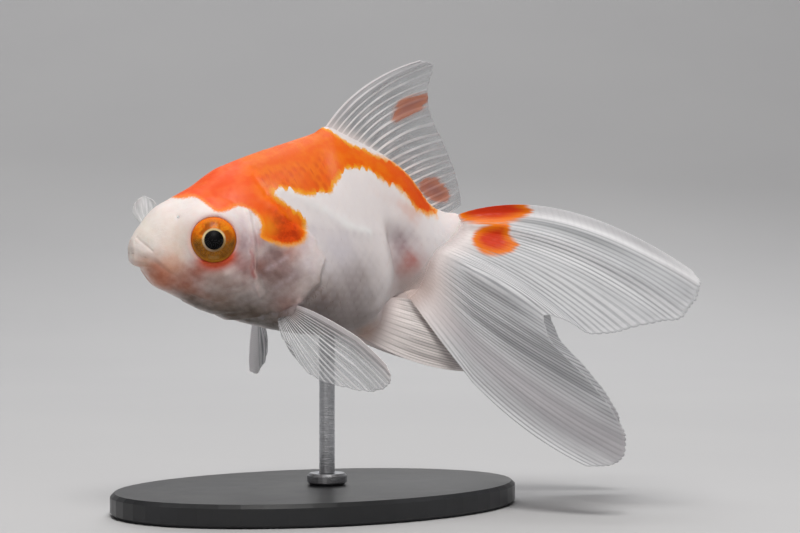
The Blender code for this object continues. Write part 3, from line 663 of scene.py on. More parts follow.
def tinted_with_painted_light(points):
    """The skin's colour at each point, without the markings: its own tints, with painted shade and painted
    highlights among them.
    """
    one_side = folded(points)
    one_side = one_side + np.stack([softly(1.4 * one_side, 0.3, seed) for seed in (1.0, 4.0, 7.0)], -1)
    colour = np.ones(points.shape) * linear(WHITE)
    for where, reach, tint_with_painted_light, strength in (*TINTS_AND_SHADES, *STROKES_OF_TINT_AND_LIGHT):
        if np.ndim(where) == 1:
            away = np.linalg.norm(one_side - where, axis=-1) + softly(points, 0.15 * reach, reach)
        else:
            away = distance_to_line(one_side, where) + softly(points, 0.3 * reach, reach)
        share = (strength * hump(np.maximum(away, 0), reach))[..., None]
        colour = colour * (1 - share) + linear(tint_with_painted_light) * share
    # a red crescent of thin skin hugs the eye from below, and a faint orange halo goes all round it
    apart = folded(points) - EYE - eye_axis(RIGHT) * 1.9
    ring = np.linalg.norm(apart, axis=-1)
    lowness = (0.98 * apart[..., 2] - 0.2 * apart[..., 0]) / (ring + 1e-9)
    below = 1 - step(-0.98, -0.45, lowness)
    crescent, halo = 0.85 * below * hump(ring - 4.0, 0.85), (0.25 + 0.35 * below) * hump(ring - 3.6, 0.45)
    blush = np.clip(crescent + halo, 0, 1)[..., None]
    return colour * (1 - blush) + linear(EYE_BLUSH) * blush


print("tints:", len(TINTS_AND_SHADES), "strokes:", len(STROKES_OF_TINT_AND_LIGHT))

# %% [markdown]
# ## From points to an object
# The ball of the skin comes from one operator. Its points are then sent to their places all at once, which
# is far quicker than one by one. Values that the finish reads, such as the marking's depth, are stored as
# named attributes.


# %% Make the skin's object
def new_object(name, bm):
    """An object that holds what a bmesh has, smooth shaded."""
    mesh = bpy.data.meshes.new(name)
    bm.to_mesh(mesh)
    bm.free()
    mesh.shade_smooth()
    made = bpy.data.objects.new(name, mesh)
    bpy.context.scene.collection.objects.link(made)
    return made


def ball(name, segments, rings):
    bm = bmesh.new()
    bmesh.ops.create_uvsphere(bm, u_segments=segments, v_segments=rings, radius=1)
    return new_object(name, bm)


def places_of(thing):
    places = np.zeros(len(thing.data.vertices) * 3)
    thing.data.vertices.foreach_get("co", places)
    return places.reshape(-1, 3)


def send_to(thing, places):
    thing.data.vertices.foreach_set("co", np.asarray(places, float).ravel())
    thing.data.update()


def store(thing, name, values, kind="FLOAT"):
    """Keeps one value, or one colour, for every point."""
    layer = thing.data.attributes.new(name, kind, "POINT")
    if kind == "FLOAT_COLOR":
        values = np.concatenate([values, np.ones((len(values), 1))], -1)
        layer.data.foreach_set("color", np.ascontiguousarray(values, dtype=np.float32).ravel())
    else:
        layer.data.foreach_set("value", np.ascontiguousarray(values, dtype=np.float32).ravel())


def store_markings(thing, straight, depth):
    """What the finishes of skin and scales read to lay the markings on."""
    store(thing, "marking", depth)
    store(thing, "from_snout", straight[..., 0])
    x, _, z = np.moveaxis(straight + softly(straight, 0.25)[..., None], -1, 0)
    on_cover = 0.9 * (1 - step(4.6, 6.6, z + 0.5 * (x - 21))) * step(18.4, 20.6, x)
    store(thing, "soft_edge", np.maximum(on_cover, 0.75 * step(39.5, 43.0, x)))
    store(thing, "burnt", on_cover * (1 - step(23.4, 25.2, x)))
    store(thing, "amber", 0.8 * hump(np.hypot(x - 19.2, z - 3.6), 1.5))


def faced_outward(thing):
    """Turns the faces over if they face inward."""
    bm = bmesh.new()
    bm.from_mesh(thing.data)
    if bm.calc_volume(signed=True) < 0:
        bmesh.ops.reverse_faces(bm, faces=bm.faces)
        bm.to_mesh(thing.data)
    bm.free()


def make_skin():
    """Sends each point of a ball to its ring and to its place round the ring."""
    thing = ball("skin", AROUND, RINGS)
    x, y, z = places_of(thing).T
    row = np.rint(np.arccos(np.clip(z, -1, 1)) / math.pi * RINGS).astype(int)
    column = np.rint(np.arctan2(y, x) / (2 * math.pi) * AROUND).astype(int) % AROUND
    straight = skin[row, column]
    send_to(thing, in_world(straight))
    store_markings(thing, straight, body_marking(straight))
    store(thing, "tint_with_painted_light", tinted_with_painted_light(straight), "FLOAT_COLOR")
    # the nostril pits and the mouth slit get painted shade, darker than the skin round them
    pits = np.min([distance_to_line(folded(straight), LINES[name][0]) for name in NOSTRILS], 0)
    slit = distance_to_line(folded(straight), LINES["mouth slit"][0])
    store(thing, "painted_recess_shade", np.maximum(0.2 * hump(pits, 0.24), 0.15 * hump(slit, 0.14)))
    faced_outward(thing)
    return thing


skin_piece = make_skin()
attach(skin_piece, "root")
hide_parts("head", "upper_lip", "lower_jaw", "gill_cover_left", "gill_cover_right", "trunk", "tail_stalk")
print("skin:", len(skin_piece.data.polygons), "faces")

# %% [markdown]
# ## Writing finishes
# A finish is a small network of nodes. Wiring each by hand takes many lines, so a bench of small helpers
# adds a node, wires its inputs and hands back its output. An input may be a number, a colour or another
# node's output.


# %% A bench for finishes
class Bench:
    """Adds nodes to one finish and wires them."""

    def __init__(self, name):
        self.finish = bpy.data.materials.new(name)
        self.finish.use_nodes = True
        self.tree = self.finish.node_tree
        self.shader = self.tree.nodes["Principled BSDF"]
        self.place = self.node("TexCoord", output="Object")

    def put(self, socket, value):
        if isinstance(value, bpy.types.NodeSocket):
            self.tree.links.new(value, socket)
        elif isinstance(value, (tuple, list)) and len(value) == 3 and socket.type == "RGBA":
            socket.default_value = (*value, 1)
        else:
            socket.default_value = value

    def node(self, kind, inputs=(), output=0, **settings):
        """Adds a node and wires its inputs. Gives back one of its outputs."""
        made = self.tree.nodes.new("ShaderNode" + kind)
        for key, value in settings.items():
            setattr(made, key, value)
        for key, value in dict(inputs).items():
            self.put(made.inputs[key], value)
        return made.outputs[output]

    def value(self, name):
        return self.node("Attribute", output="Fac", attribute_name=name)

    def colour(self, name):
        return self.node("Attribute", output="Color", attribute_name=name)

    def math(self, operation, a, b=0.0, c=0.0):
        return self.node("Math", {0: a, 1: b, 2: c}, operation=operation)

    def times(self, a, b):
        return self.math("MULTIPLY", a, b)

    def most(self, a, b):
        return self.math("MAXIMUM", a, b)

    def soft(self, value, low, high, start=0.0, end=1.0):
        """start below low, end above high, and smooth between."""
        inputs = {"Value": value, "From Min": low, "From Max": high, "To Min": start, "To Max": end}
        return self.node("MapRange", inputs, interpolation_type="SMOOTHSTEP")

    def mix(self, share, a, b, blend="MIX"):
        return self.node("Mix", {0: share, 6: a, 7: b}, output=2, data_type="RGBA", blend_type=blend)

    def blend(self, value, low, high, *paints):
        """One paint where a value is low, another where it is high, and a soft change between them."""
        return self.mix(self.soft(value, low, high), *(paint(*tone) for tone in paints))

    def noise(self, scale, detail=2.0, where=None, rough=0.5):
        inputs = {"Scale": scale, "Detail": detail, "Roughness": rough, "Vector": where or self.place}
        return self.node("TexNoise", inputs)

    def stretched(self, x, y, z):
        return self.node("Mapping", {"Vector": self.place, "Scale": (x, y, z)})

    def bump(self, height, depth, strength=1.0, under=None):
        inputs = {"Height": height, "Distance": depth, "Strength": strength}
        if under is not None:
            inputs["Normal"] = under
        return self.node("Bump", inputs)

    def finished(self, **sockets):
        """Sets the shader's inputs, named with _ for spaces."""
        for name, value in sockets.items():
            self.put(self.shader.inputs[name.replace("_", " ")], value)
        return self.finish


def paint(*colour):
    return tuple(float(v) for v in linear(colour))


def dress(thing, finish):
    thing.data.materials.clear()
    thing.data.materials.append(finish)


print("bench ready:", paint(240, 110, 30))

# %% [markdown]
# ## Skin's finish
# Living fish skin is wet: a clear coat of slime over soft flesh. So the shader has a coat for the wet
# gloss, and a little light that spreads under the surface. The markings' edge is broken up by a fine noise,
# and an amber fringe follows it. Fine bumps make the pores and small folds, finer on the head.


# %% Marked skin finish
def marked_colour(bench, depth, white):
    """White skin with the markings laid on: amber at the edge, orange inside, and coral on the head."""
    ragged = bench.math("MULTIPLY_ADD", bench.noise(2600, 3.0, rough=0.6), 0.7, -0.35)
    depth = bench.math("ADD", depth, ragged)
    slow, from_snout = bench.noise(420), bench.value("from_snout")
    coral = bench.soft(from_snout, 20.0, 15.5)
    orange = bench.blend(slow, 0.35, 0.65, (255, 118, 10), (252, 100, 6))
    red = bench.blend(slow, 0.35, 0.65, (255, 106, 44), (252, 88, 26))
    deep = bench.mix(coral, orange, red)
    deep = bench.mix(bench.soft(from_snout, 41.0, 50.0, 0.0, 0.8), deep, paint(242, 74, 26))
    # on the gill cover it is a darker, burnt red, with clouds of amber at its front
    burnt = bench.blend(bench.noise(700, 3.0, rough=0.6), 0.38, 0.6, (232, 76, 8), (196, 50, 4))
    deep = bench.mix(bench.value("burnt"), deep, burnt)
    deep = bench.mix(bench.value("amber"), deep, paint(240, 142, 20))
    amber = bench.mix(coral, paint(255, 170, 34), paint(255, 142, 60))
    marking = bench.mix(bench.soft(depth, 0.05, 0.85), amber, deep)
    # the edge is crisp, but soft on the gill cover and at the saddle's rear
    crisp, blurred = bench.soft(depth, -0.25, 0.2), bench.soft(depth, -0.6, 0.6)
    softer = bench.math("SUBTRACT", blurred, crisp)
    share = bench.math("MULTIPLY_ADD", bench.value("soft_edge"), softer, crisp)
    return bench.mix(share, white, marking)


def skin_finish():
    bench = Bench("wet_skin")
    mottle = bench.soft(bench.noise(900, 3.0, rough=0.6), 0.3, 0.7)
    tint_with_painted_light = bench.colour("tint_with_painted_light")
    white = bench.mix(bench.times(mottle, 0.32), tint_with_painted_light, tint_with_painted_light, "MULTIPLY")
    colour = marked_colour(bench, bench.value("marking"), white)
    # painted shade in the nostril pits and the mouth slit
    colour = bench.mix(bench.value("painted_recess_shade"), colour, paint(96, 52, 44))
    pores = bench.bump(bench.noise(5200, 3.0, rough=0.6), 0.00005, 0.35)
    folds = bench.bump(bench.noise(1300), 0.00012, 0.4, under=pores)
    rough = bench.soft(bench.noise(1500), 0.3, 0.7, 0.42, 0.58)
    return bench.finished(
        Base_Color=colour, Roughness=rough, Normal=folds, Specular_IOR_Level=0.18,
        Subsurface_Weight=0.2, Subsurface_Radius=(1.0, 0.45, 0.3), Subsurface_Scale=0.001,
        Coat_Weight=0.08, Coat_Roughness=0.22,
    )  # fmt: skip


wet_skin = skin_finish()
dress(skin_piece, wet_skin)
print("finish:", wet_skin.name)

# %% [markdown]
# ## The coat of scales
# Scales overlap like roof tiles, their free edge to the rear. They stand in rows along the lateral line,
# the fine line of pores from the gill to the tail, and each row is shifted by half a scale. Rows end where
# the back or the belly cuts them off, as on the real fish. They could be instances, but the model is to be
# one joined mesh, so an array makes the copies of one closed plate and every plate's points are then laid
# on the skin.

# %% Lattice of the scales
LATERAL_LINE = ((16.0, 7.0), (22.0, 4.6), (28.0, 3.2), (36.0, 2.6), (44.0, 2.4), (52.0, 1.8), (58.0, 0.6))
PLATE_COLUMNS, PLATE_ROWS = 8, 6
PLATE_LENGTH, PLATE_WIDTH = 1.42, 1.06  # over the room that a scale has, so they overlap


def scale_length(x):
    """How far apart the scales of a row stand, at x."""
    return np.interp(x, (18, 30, 44, 52, 58), (1.5, 1.58, 1.48, 1.3, 1.15))


def scale_row(x):
    """How far apart the rows stand, at x."""
    return np.interp(x, (18, 30, 42, 50, 58), (1.22, 1.26, 1.2, 1.0, 0.84))


def line_height(x):
    return np.interp(x, [p[0] for p in LATERAL_LINE], [p[1] for p in LATERAL_LINE])


def arc_at_height(x, height):
    """How far down the side from the back a height lies, at x."""
    side, length = half_section(x, 120)
    return np.interp(-height, -side[:, 1], np.linspace(0, length, len(side)))


STATIONS = np.linspace(15, 57.6, 86)
LINE_ARC = np.array([arc_at_height(x, line_height(x)) for x in STATIONS])
SIDE_ARC = np.array([half_section(x, 4)[1] for x in STATIONS])


def line_arc(x):
    """How far down the side from the back the lateral line runs, at x."""
    return np.interp(x, STATIONS, LINE_ARC)


def scale_places():
    """(x, row number) for every scale of one side: rows count up from the lateral line."""
    steps = [16.0]
    while steps[-1] < 57.0:
        steps.append(steps[-1] + float(scale_length(steps[-1])) * 0.97)
    places = []
    for number in range(-26, 27):
        shift = 0.5 * (number % 2)
        for k in range(len(steps) - 1):
            x = float(np.interp(k + shift, np.arange(len(steps)), steps))
            arc = line_arc(x) - number * scale_row(x)
            length = np.interp(x, STATIONS, SIDE_ARC)
            heights = half_section(x, 120)[0][:, 1]
            z = float(np.interp(arc, np.linspace(0, length, len(heights)), heights))
            behind = behind_line(np.array([[x, z]]), GILL_EDGE)[0]
            # it stands clear of the back, the belly, the gill cover and the tail's root
            if 0.15 * scale_row(x) < arc < length - 0.1 * scale_row(x) and behind > 0.35 and x < 56.6:
                places.append((x, number))
    return np.array(places)


SCALES = scale_places()
print("scales on each side:", len(SCALES))

# %% [markdown]
# A single plate is a grid with a rounded rear edge, thickened into a closed body. It rises from under the
# skin at its root to its free edge, so the plates lie over each other in the right order by themselves.


# %% Lay the scales on the skin
UNROLLED_AROUND, UNROLLED_LENGTH = 110, 60  # the skin unrolled, in millimetres
PATCH, LAYOUT_MARGIN = 0.0028, 0.02


def with_modifiers_applied(thing):
    bpy.context.view_layer.update()
    mesh = bpy.data.meshes.new_from_object(thing.evaluated_get(bpy.context.evaluated_depsgraph_get()))
    thing.modifiers.clear()
    thing.data = mesh
    return thing


def plates(name, count):
    """Flat plates in one mesh: x runs across from -1 to 1, and y from root to free edge, from -1 to 1."""
    bm = bmesh.new()
    bmesh.ops.create_grid(bm, x_segments=PLATE_COLUMNS, y_segments=PLATE_ROWS, size=1)
    thing = new_object(name, bm)
    thick = thing.modifiers.new("thickness", "SOLIDIFY")
    thick.thickness = 0.1
    thick.offset = -1
    copies = thing.modifiers.new("copies", "ARRAY")
    copies.count = count
    copies.constant_offset_displace = (0, 0, 1)
    copies.use_constant_offset = True
    copies.use_relative_offset = False
    return with_modifiers_applied(thing)


def between(table, i, j, k, a, b):
    """A table's value between rows i and i + 1, by the share a, and columns j and k, by the share b."""
    near, far = (table[row, j] * (1 - b) + table[row, k] * b for row in (i, i + 1))
    return near * (1 - a) + far * a


def on_skin(x, arc, side, lift):
    """Points on the skin: x along, arc down the side from the back, lifted off it. Past the back or the
    belly it goes on round the other side."""
    rows = np.interp(x, RING_X, np.arange(RINGS + 1))
    columns = -side * arc / np.interp(x, RING_X, side_length) * (AROUND / 2)
    i, j = np.minimum(rows.astype(int), RINGS - 1), np.floor(columns).astype(int)
    a, b = (rows - i)[..., None], (columns - j)[..., None]
    cell = i, j % AROUND, (j + 1) % AROUND, a, b
    return between(skin, *cell) + between(out, *cell) * lift[..., None]


def make_scales(name, side):
    """Lays one side's plates on the skin, and keeps each plate's own coordinates for the finish."""
    thing = plates(name, len(SCALES))
    local = places_of(thing).reshape(len(SCALES), -1, 3)
    u, v = local[..., 0], (local[..., 1] + 1) / 2
    under = local[..., 2] - local[..., 2].max(1, keepdims=True)  # 0 on top, -0.1 underneath

    x0, number = SCALES[:, :1], SCALES[:, 1:]
    length, row = scale_length(x0), scale_row(x0)
    # a number from 0 to 1 that differs from scale to scale and stays the same on every run
    luck = np.modf(np.abs(np.sin(x0 * 12.9898 + number * 78.233 + side) * 43758.5453))[0]
    reach = v * (1 - 0.34 * u**2) + 0.10 * u**2
    x = x0 + (reach - 0.62) * length * PLATE_LENGTH
    width = row * PLATE_WIDTH * (1 - 0.25 * (1 - v) ** 2)
    # the scale follows its row along the fish, and not its own section
    root_arc = line_arc(x0) - number * row
    arc = root_arc + u * width + line_arc(x) - line_arc(x0)
    proud = 1 - 0.6 * step(49.0, 56.0, x)
    lift = -0.05 + (0.10 * reach - 0.02 * u**2 + 0.01 * (luck - 0.5)) * proud + under * 0.3
    places = on_skin(np.clip(x, 0, BODY[-1, 0]), arc, side, lift)
    send_to(thing, in_world(places.reshape(-1, 3)))

    # a marking's edge is jagged, because a scale takes part of its colour from its own middle
    middle = on_skin(x0 + 0.2 * length, root_arc, side, 0 * x0)
    serrated = 0.7 * body_marking(places) + 0.3 * body_marking(middle) + 0.5 * (luck - 0.5)
    below_back = np.interp(places[..., 0], RING_X, BACK_HEIGHT) - places[..., 2]
    for key, values in {
        "scale_across": u,
        "scale_along": reach,
        "scale_luck": luck + 0 * u,
        "scale_show": step(2.0, 4.6, below_back) * (1 - step(29.0, 32.0, x0)),
        "lateral": (number == 0) * hump(u, 0.28) * hump(v - 0.74, 0.12),
    }.items():
        store(thing, key, np.ascontiguousarray(values).ravel())
    store_markings(thing, places.reshape(-1, 3), serrated.ravel())
    store(thing, "tint_with_painted_light", tinted_with_painted_light(places).reshape(-1, 3), "FLOAT_COLOR")
    thing.data.shade_smooth()
    thing.data.set_sharp_from_angle(angle=math.radians(35))
    lay_out(thing, u, v, x0, root_arc, side)
    faced_outward(thing)
    return thing


def lay_out(thing, u, v, x0, arc, side):
    """A layout named OFBake: the skin unrolled, with a small patch for each scale at its root's place."""
    around, along = 0.5 + side * arc / UNROLLED_AROUND, x0 / UNROLLED_LENGTH
    size = 1 - 2 * LAYOUT_MARGIN
    patch = [LAYOUT_MARGIN + size * around + u * PATCH / 2, LAYOUT_MARGIN + size * along + (v - 0.5) * PATCH]
    patch = np.stack(patch, -1).reshape(-1, 2)
    corners = np.zeros(len(thing.data.loops), int)
    thing.data.loops.foreach_get("vertex_index", corners)
    layer = thing.data.uv_layers.new(name="OFBake")
    layer.uv.foreach_set("vector", patch[corners].astype(np.float32).ravel())


scale_pieces = {side: make_scales(f"scales_{side}", sign) for side, sign in SIDES.items()}
for piece in scale_pieces.values():
    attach(piece, "root")
    print(piece.name, len(piece.data.polygons), "faces")

# %% [markdown]
# ## Scales' finish
# Each scale is a thin clear plate over coloured skin. In the saddle a dark streak of pigment shows through
# its middle, and its rim is paler. In the white parts only the rim shows, as a faint pearly line. The
# plate's own coordinates, stored above, place the streak and the rim. A soft sheen of pearl comes from a
# clear coat.


# %% Scale finish
def scale_finish():
    bench = Bench("scale")
    across, along, luck = bench.value("scale_across"), bench.value("scale_along"), bench.value("scale_luck")
    grain = bench.noise(3200)
    # a narrow streak, leaning back at the top
    lean = bench.math("MULTIPLY_ADD", across, -0.16, along)
    streak = bench.math("ABSOLUTE", bench.math("SUBTRACT", lean, bench.math("MULTIPLY_ADD", luck, 0.2, 0.62)))
    wide = bench.times(bench.soft(luck, 0.1, 0.6, 0.3, 1.0), 0.3)
    streak = bench.soft(streak, wide, 0.0)
    streak = bench.times(streak, bench.soft(bench.math("ABSOLUTE", across), 0.75, 0.1))
    patchy = bench.soft(bench.noise(330), 0.4, 0.6, 0.35, 1.0)
    streak = bench.times(streak, bench.times(bench.value("scale_show"), patchy))
    rim = bench.soft(along, 0.9, 1.0)

    tone = bench.mix(bench.soft(luck, 0.0, 1.0, 0.0, 0.07), bench.colour("tint_with_painted_light"), paint(220, 210, 220))
    middle = bench.times(bench.soft(bench.math("ABSOLUTE", across), 0.5, 0.0), 0.05)
    white = bench.mix(middle, tone, paint(252, 248, 250))
    depth = bench.value("marking")
    colour = marked_colour(bench, depth, white)
    inside = bench.soft(depth, 0.2, 0.9)
    colour = bench.mix(bench.times(bench.times(streak, inside), 0.7), colour, paint(232, 80, 2))
    colour = bench.mix(bench.times(bench.times(rim, inside), 0.2), colour, paint(255, 140, 20))
    colour = bench.mix(bench.times(bench.value("lateral"), 0.14), colour, paint(150, 120, 128))

    ribs = bench.math("SINE", bench.times(along, 42.0))
    bumps = bench.bump(ribs, 0.000005, 0.3)
    bumps = bench.bump(bench.noise(1400), 0.00006, 0.35, under=bumps)
    rough = bench.soft(grain, 0.3, 0.7, 0.4, 0.55)
    return bench.finished(
        Base_Color=colour, Roughness=rough, Normal=bumps, Specular_IOR_Level=0.18,
        Subsurface_Weight=0.15, Subsurface_Radius=(1.0, 0.5, 0.35), Subsurface_Scale=0.0008,
        Coat_Weight=0.08, Coat_Roughness=0.24,
    )  # fmt: skip


scale_coat = scale_finish()
for piece in scale_pieces.values():
    dress(piece, scale_coat)
print("finish:", scale_coat.name)

# %% [markdown]
# ## Eyes
# A goldfish's eye has a flat ring of gold and orange, the iris, with a round black pupil through which the
# hard ball of the lens stands out, all under a clear dome. Two closed bodies make it: an opaque globe whose
# front is shaped into the iris, with the black lens in its middle, and a clear dome over it. The dome is a
# gloss over a see-through shader, with no bending of light, so what lies under it shows cleanly.

# %% Globe, lens and dome
PUPIL, GOLD_RING, IRIS = 1.47, 1.74, 3.5
LENS_RADIUS, LENS_DEPTH = 1.75, 1.98
GLOBE_RADIUS = EYE_RADIUS - 0.06


def aimed(points, side):
    """Turns points from the eye's own frame, whose z looks out of the head, into the straight fish."""
    axis = eye_axis(side)
    forward = unit(np.cross((0.0, 0.0, 1.0), axis))
    up = np.cross(axis, forward)
    return EYE * (1, side, 1) + points[..., :1] * forward + points[..., 1:2] * up + points[..., 2:] * axis


def make_globe(name, side):
    """The opaque part: a ball whose front is flattened into the iris, with the lens standing out of it."""
    thing = ball(name, 112, 84)
    points = places_of(thing)
    from_front = np.arccos(np.clip(points[:, 2], -1, 1))
    spin = np.arctan2(points[:, 1], points[:, 0])
    edge = math.asin(IRIS / GLOBE_RADIUS)
    ring = np.where(from_front < edge, from_front / edge * IRIS, np.sin(from_front) * GLOBE_RADIUS)
    # the iris slopes from the gold ring out to the rim, with fine rays and a groove beside the ring
    slope = (0.0, PUPIL, GOLD_RING, 2.1, 2.7, 3.2, IRIS), (3.0, 3.0, 3.08, 2.98, 2.82, 2.55, 2.28)
    height = np.interp(ring, *slope)
    height = height + 0.035 * np.sin(spin * 31 + 3 * ring) * hump(ring - 2.6, 0.5)
    lens = np.sqrt(np.maximum(LENS_RADIUS**2 - ring**2, 0)) + LENS_DEPTH
    height = np.where(ring < PUPIL - 0.06, lens, height)
    height = np.where(from_front < edge, height, np.cos(from_front) * GLOBE_RADIUS)
    shaped = np.stack([ring * np.cos(spin), ring * np.sin(spin), height], -1)
    send_to(thing, in_world(aimed(shaped, side)))
    store(thing, "eye_ring", ring + 10 * (from_front > math.pi / 2))
    store(thing, "eye_up", np.sin(spin))
    store(thing, "eye_spin", spin)
    faced_outward(thing)
    return thing


def make_dome(name, side):
    """The clear part: its front is the dome, and its back lies unseen inside the globe."""
    thing = ball(name, 96, 64)
    points = places_of(thing)
    size = np.interp(points[:, 2], (-1, 0.42, 0.52, 1), (0.86, 0.9, 1.0, 1.0)) * EYE_RADIUS
    send_to(thing, in_world(aimed(points * size[:, None], side)))
    faced_outward(thing)
    return thing


# %% [markdown]
# The iris is orange on top and olive below, with a thin gold ring round the pupil. Its colour is drawn from
# the distance to the middle and from the angle, and broken up by fine streaks that run outward.


# %% Eye finishes
def iris_finish():
    bench = Bench("iris")
    ring, up, spin = bench.value("eye_ring"), bench.value("eye_up"), bench.value("eye_spin")
    streaks = bench.noise(1900, 3.0, rough=0.65)
    clouds = bench.noise(520)
    top = bench.blend(streaks, 0.3, 0.7, (255, 158, 26), (246, 122, 14))
    shade = bench.times(bench.soft(clouds, 0.44, 0.6), bench.soft(ring, 3.1, 2.5))
    top = bench.mix(bench.times(shade, 0.8), top, paint(178, 82, 8))
    low = bench.blend(streaks, 0.3, 0.7, (190, 122, 26), (146, 92, 20))
    iris = bench.mix(bench.soft(bench.math("MULTIPLY_ADD", clouds, 0.9, up), 0.15, 0.75), low, top)
    outer = bench.times(bench.soft(ring, 2.9, 3.3), 0.85)
    iris = bench.mix(outer, iris, bench.blend(up, -0.7, 0.2, (206, 140, 40), (255, 140, 34)))
    lowest = bench.soft(up, -0.93, -0.985)
    glint = bench.times(lowest, bench.times(bench.soft(ring, 2.3, 2.6), bench.soft(ring, 3.1, 2.8)))
    iris = bench.mix(bench.times(glint, 0.4), iris, paint(206, 168, 96))
    gold = bench.blend(up, -0.7, 0.5, (168, 146, 120), (255, 228, 172))
    behind = bench.math("COSINE", bench.math("ADD", spin, 0.8))
    gold = bench.mix(bench.soft(behind, 0.2, 0.95, 0.0, 0.7), gold, paint(122, 92, 40))
    colour = bench.mix(bench.soft(ring, GOLD_RING - 0.08, GOLD_RING + 0.14), gold, iris)
    colour = bench.mix(bench.soft(ring, PUPIL - 0.05, PUPIL + 0.05), paint(3, 3, 5), colour)
    bumps = bench.bump(streaks, 0.0001, 0.4)
    return bench.finished(Base_Color=colour, Roughness=0.5, Normal=bumps, Specular_IOR_Level=0.12)


def dome_finish():
    bench = Bench("eye_dome")
    clear = bench.node("BsdfTransparent", {"Color": (1, 1, 1)})
    gloss = bench.node("BsdfAnisotropic", {"Color": (1, 1, 1), "Roughness": 0.2})
    edge = bench.node("Fresnel", {"IOR": 1.18})
    shell = bench.node("MixShader", {0: edge, 1: clear, 2: gloss})
    bench.tree.links.new(shell, bench.tree.nodes["Material Output"].inputs["Surface"])
    bench.tree.nodes.remove(bench.shader)
    return bench.finish


iris_paint, dome_gloss = iris_finish(), dome_finish()
for side, sign in SIDES.items():
    globe, dome = make_globe(f"eye_globe_{side}", sign), make_dome(f"eye_dome_{side}", sign)
    dress(globe, iris_paint)
    dress(dome, dome_gloss)
    for piece in (globe, dome):
        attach(piece, "root")
    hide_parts(f"eye_{side}")
    print("eye", side, len(globe.data.polygons) + len(dome.data.polygons), "faces")

# %% [markdown]
# ## Fins
# A fin has thin bony rays in a clear web. In the tail and the low fins each ray is one rod at its root and
# splits in two on its way out. The branching is a trick of folding. The distance to the nearest ray, folded
# about a growing offset, gives the distance to the nearest of two branches. The same rule shapes the mesh
# here and paints the fine lines in the finish below.

# %% Rays and their branches
NEVER = 9.0  # beyond the fin's edge
NOWHERE = (NEVER, 1)
# Shape: grid is its columns and rows, rays how many, split where along a ray its split ends, ray its
# thickness in mm over the web, cover how much of the fin the rays cover, sway how far the sheet waves,
# front how much thicker the first ray is, band how wide the white front edge is, root how thick the root is
# and feather how far it thins out again.
# Colour: flesh is how far flesh reaches, clear the web's cover at root and edge, web and bone two tones of
# each, dense how strongly the rays show across the fin, fade what is left of them at the edge, fringe,
# stain and strength a marking's edge, middle and cover, lilac and shade where a veil of the colour veil and
# a painted grey shade lie and how wide.
PLAIN = dict(
    split=NEVER, front=0.3, root=0.3, feather=0.07, flesh=0.14, clear=(0.5, 0.3),
    dense=((0, 1.0), (1, 0.8)), fade=0.7, web=((150, 153, 156), (174, 177, 180)),
    bone=((248, 246, 248), (204, 200, 206)), fringe=(198, 112, 58), stain=(168, 74, 30), strength=0.7,
    lilac=NOWHERE, veil=(178, 168, 174), shade=NOWHERE,
)  # fmt: skip
LOW_FINS = dict(
    split=0.5, cover=0.7, sway=0.07, front=0.2, band=0.05, flesh=0.26, dense=((0, 1.0), (1, 1.0)),
    web=((194, 186, 184), (214, 206, 204)), bone=((232, 225, 223), (210, 203, 202)),
)  # fmt: skip
LOOKS = {
    "dorsal_fin": dict(
        rays=22, ray=0.1, cover=0.32, sway=0.06, band=0.015, grid=(352, 76), fringe=(196, 98, 24),
        stain=(164, 64, 0), strength=0.74, fade=0.35, lilac=(0.0, 0.06), veil=(236, 232, 236),
    ),
    "pectoral_fin_left": dict(
        rays=21, ray=0.09, cover=0.42, sway=0.07, band=0.09, grid=(280, 70), clear=(0.3, 0.35), fade=0.6,
        lilac=(0.04, 0.14), veil=(240, 228, 228), dense=((0, 1.0), (0.2, 1.0), (0.4, 0.7), (1, 0.6)),
    ),
    "pectoral_fin_right": dict(
        rays=10, ray=0.1, cover=0.6, sway=0.08, band=0.3, grid=(170, 60), clear=(0.8, 0.7),
    ),
    "pelvic_fin": dict(LOW_FINS, rays=13, ray=0.06, grid=(200, 70), clear=(0.85, 0.6)),
    "anal_fin": dict(LOW_FINS, rays=10, ray=0.08, grid=(150, 50), clear=(0.9, 0.65)),
    "tail": dict(
        rays=34, split=0.4, ray=0.06, cover=0.64, sway=0.04, front=0.1, band=0.15, grid=(460, 104), root=0.25,
        feather=0.12, flesh=0.2, clear=(0.85, 0.5), web=((178, 180, 184), (198, 200, 204)),
        bone=((234, 234, 237), (208, 208, 213)), fringe=(240, 126, 0), stain=(212, 52, 0), strength=1.0,
        # shade lays a painted shade in the recess under the folded front band, and dense dips there too
        lilac=(1.74, 0.15), shade=(0.2, 0.03),
        dense=(
            (0, 1.0), (0.15, 1.0), (0.18, 0.1), (0.26, 0.35), (0.32, 1.0), (0.42, 0.95), (0.54, 0.6),
            (0.76, 0.5), (0.88, 0.95), (0.98, 1.0), (1.02, 0.7), (1.1, 0.6), (1.14, 0.3), (1.2, 0.95),
            (1.42, 1.0), (1.56, 0.55), (1.7, 0.35), (1.9, 0.4), (1.96, 0.9), (2.0, 1.0),
        ),
    ),
}  # fmt: skip
LOOKS = {kind: {**PLAIN, **own} for kind, own in LOOKS.items()}
WEB = 0.09  # thickness of the clear web
SPLIT_RUN = 0.3  # how much of the fin's length a split takes


def off_ray(place, along, split):
    """Distance from the nearest branch, where one is the room of a whole ray."""
    distance = np.abs(place - np.rint(place))
    return np.abs(distance - 0.25 * step(split - SPLIT_RUN, split, along))


def branch_room(along, split):
    """Half the room of one branch, in the same measure."""
    return 0.5 - 0.25 * step(split - SPLIT_RUN, split, along)


print("branches at the tail's edge:", round(0.5 / float(branch_room(1.0, LOOKS["tail"]["split"]))))

# %% [markdown]
# Each fin's sheet starts as a flat grid. Its points go to the fan, wave a little across the rays, and the
# free edge is cut ragged between the branches. A modifier then thickens the sheet, and a group of weights
# tells it where the rays are.


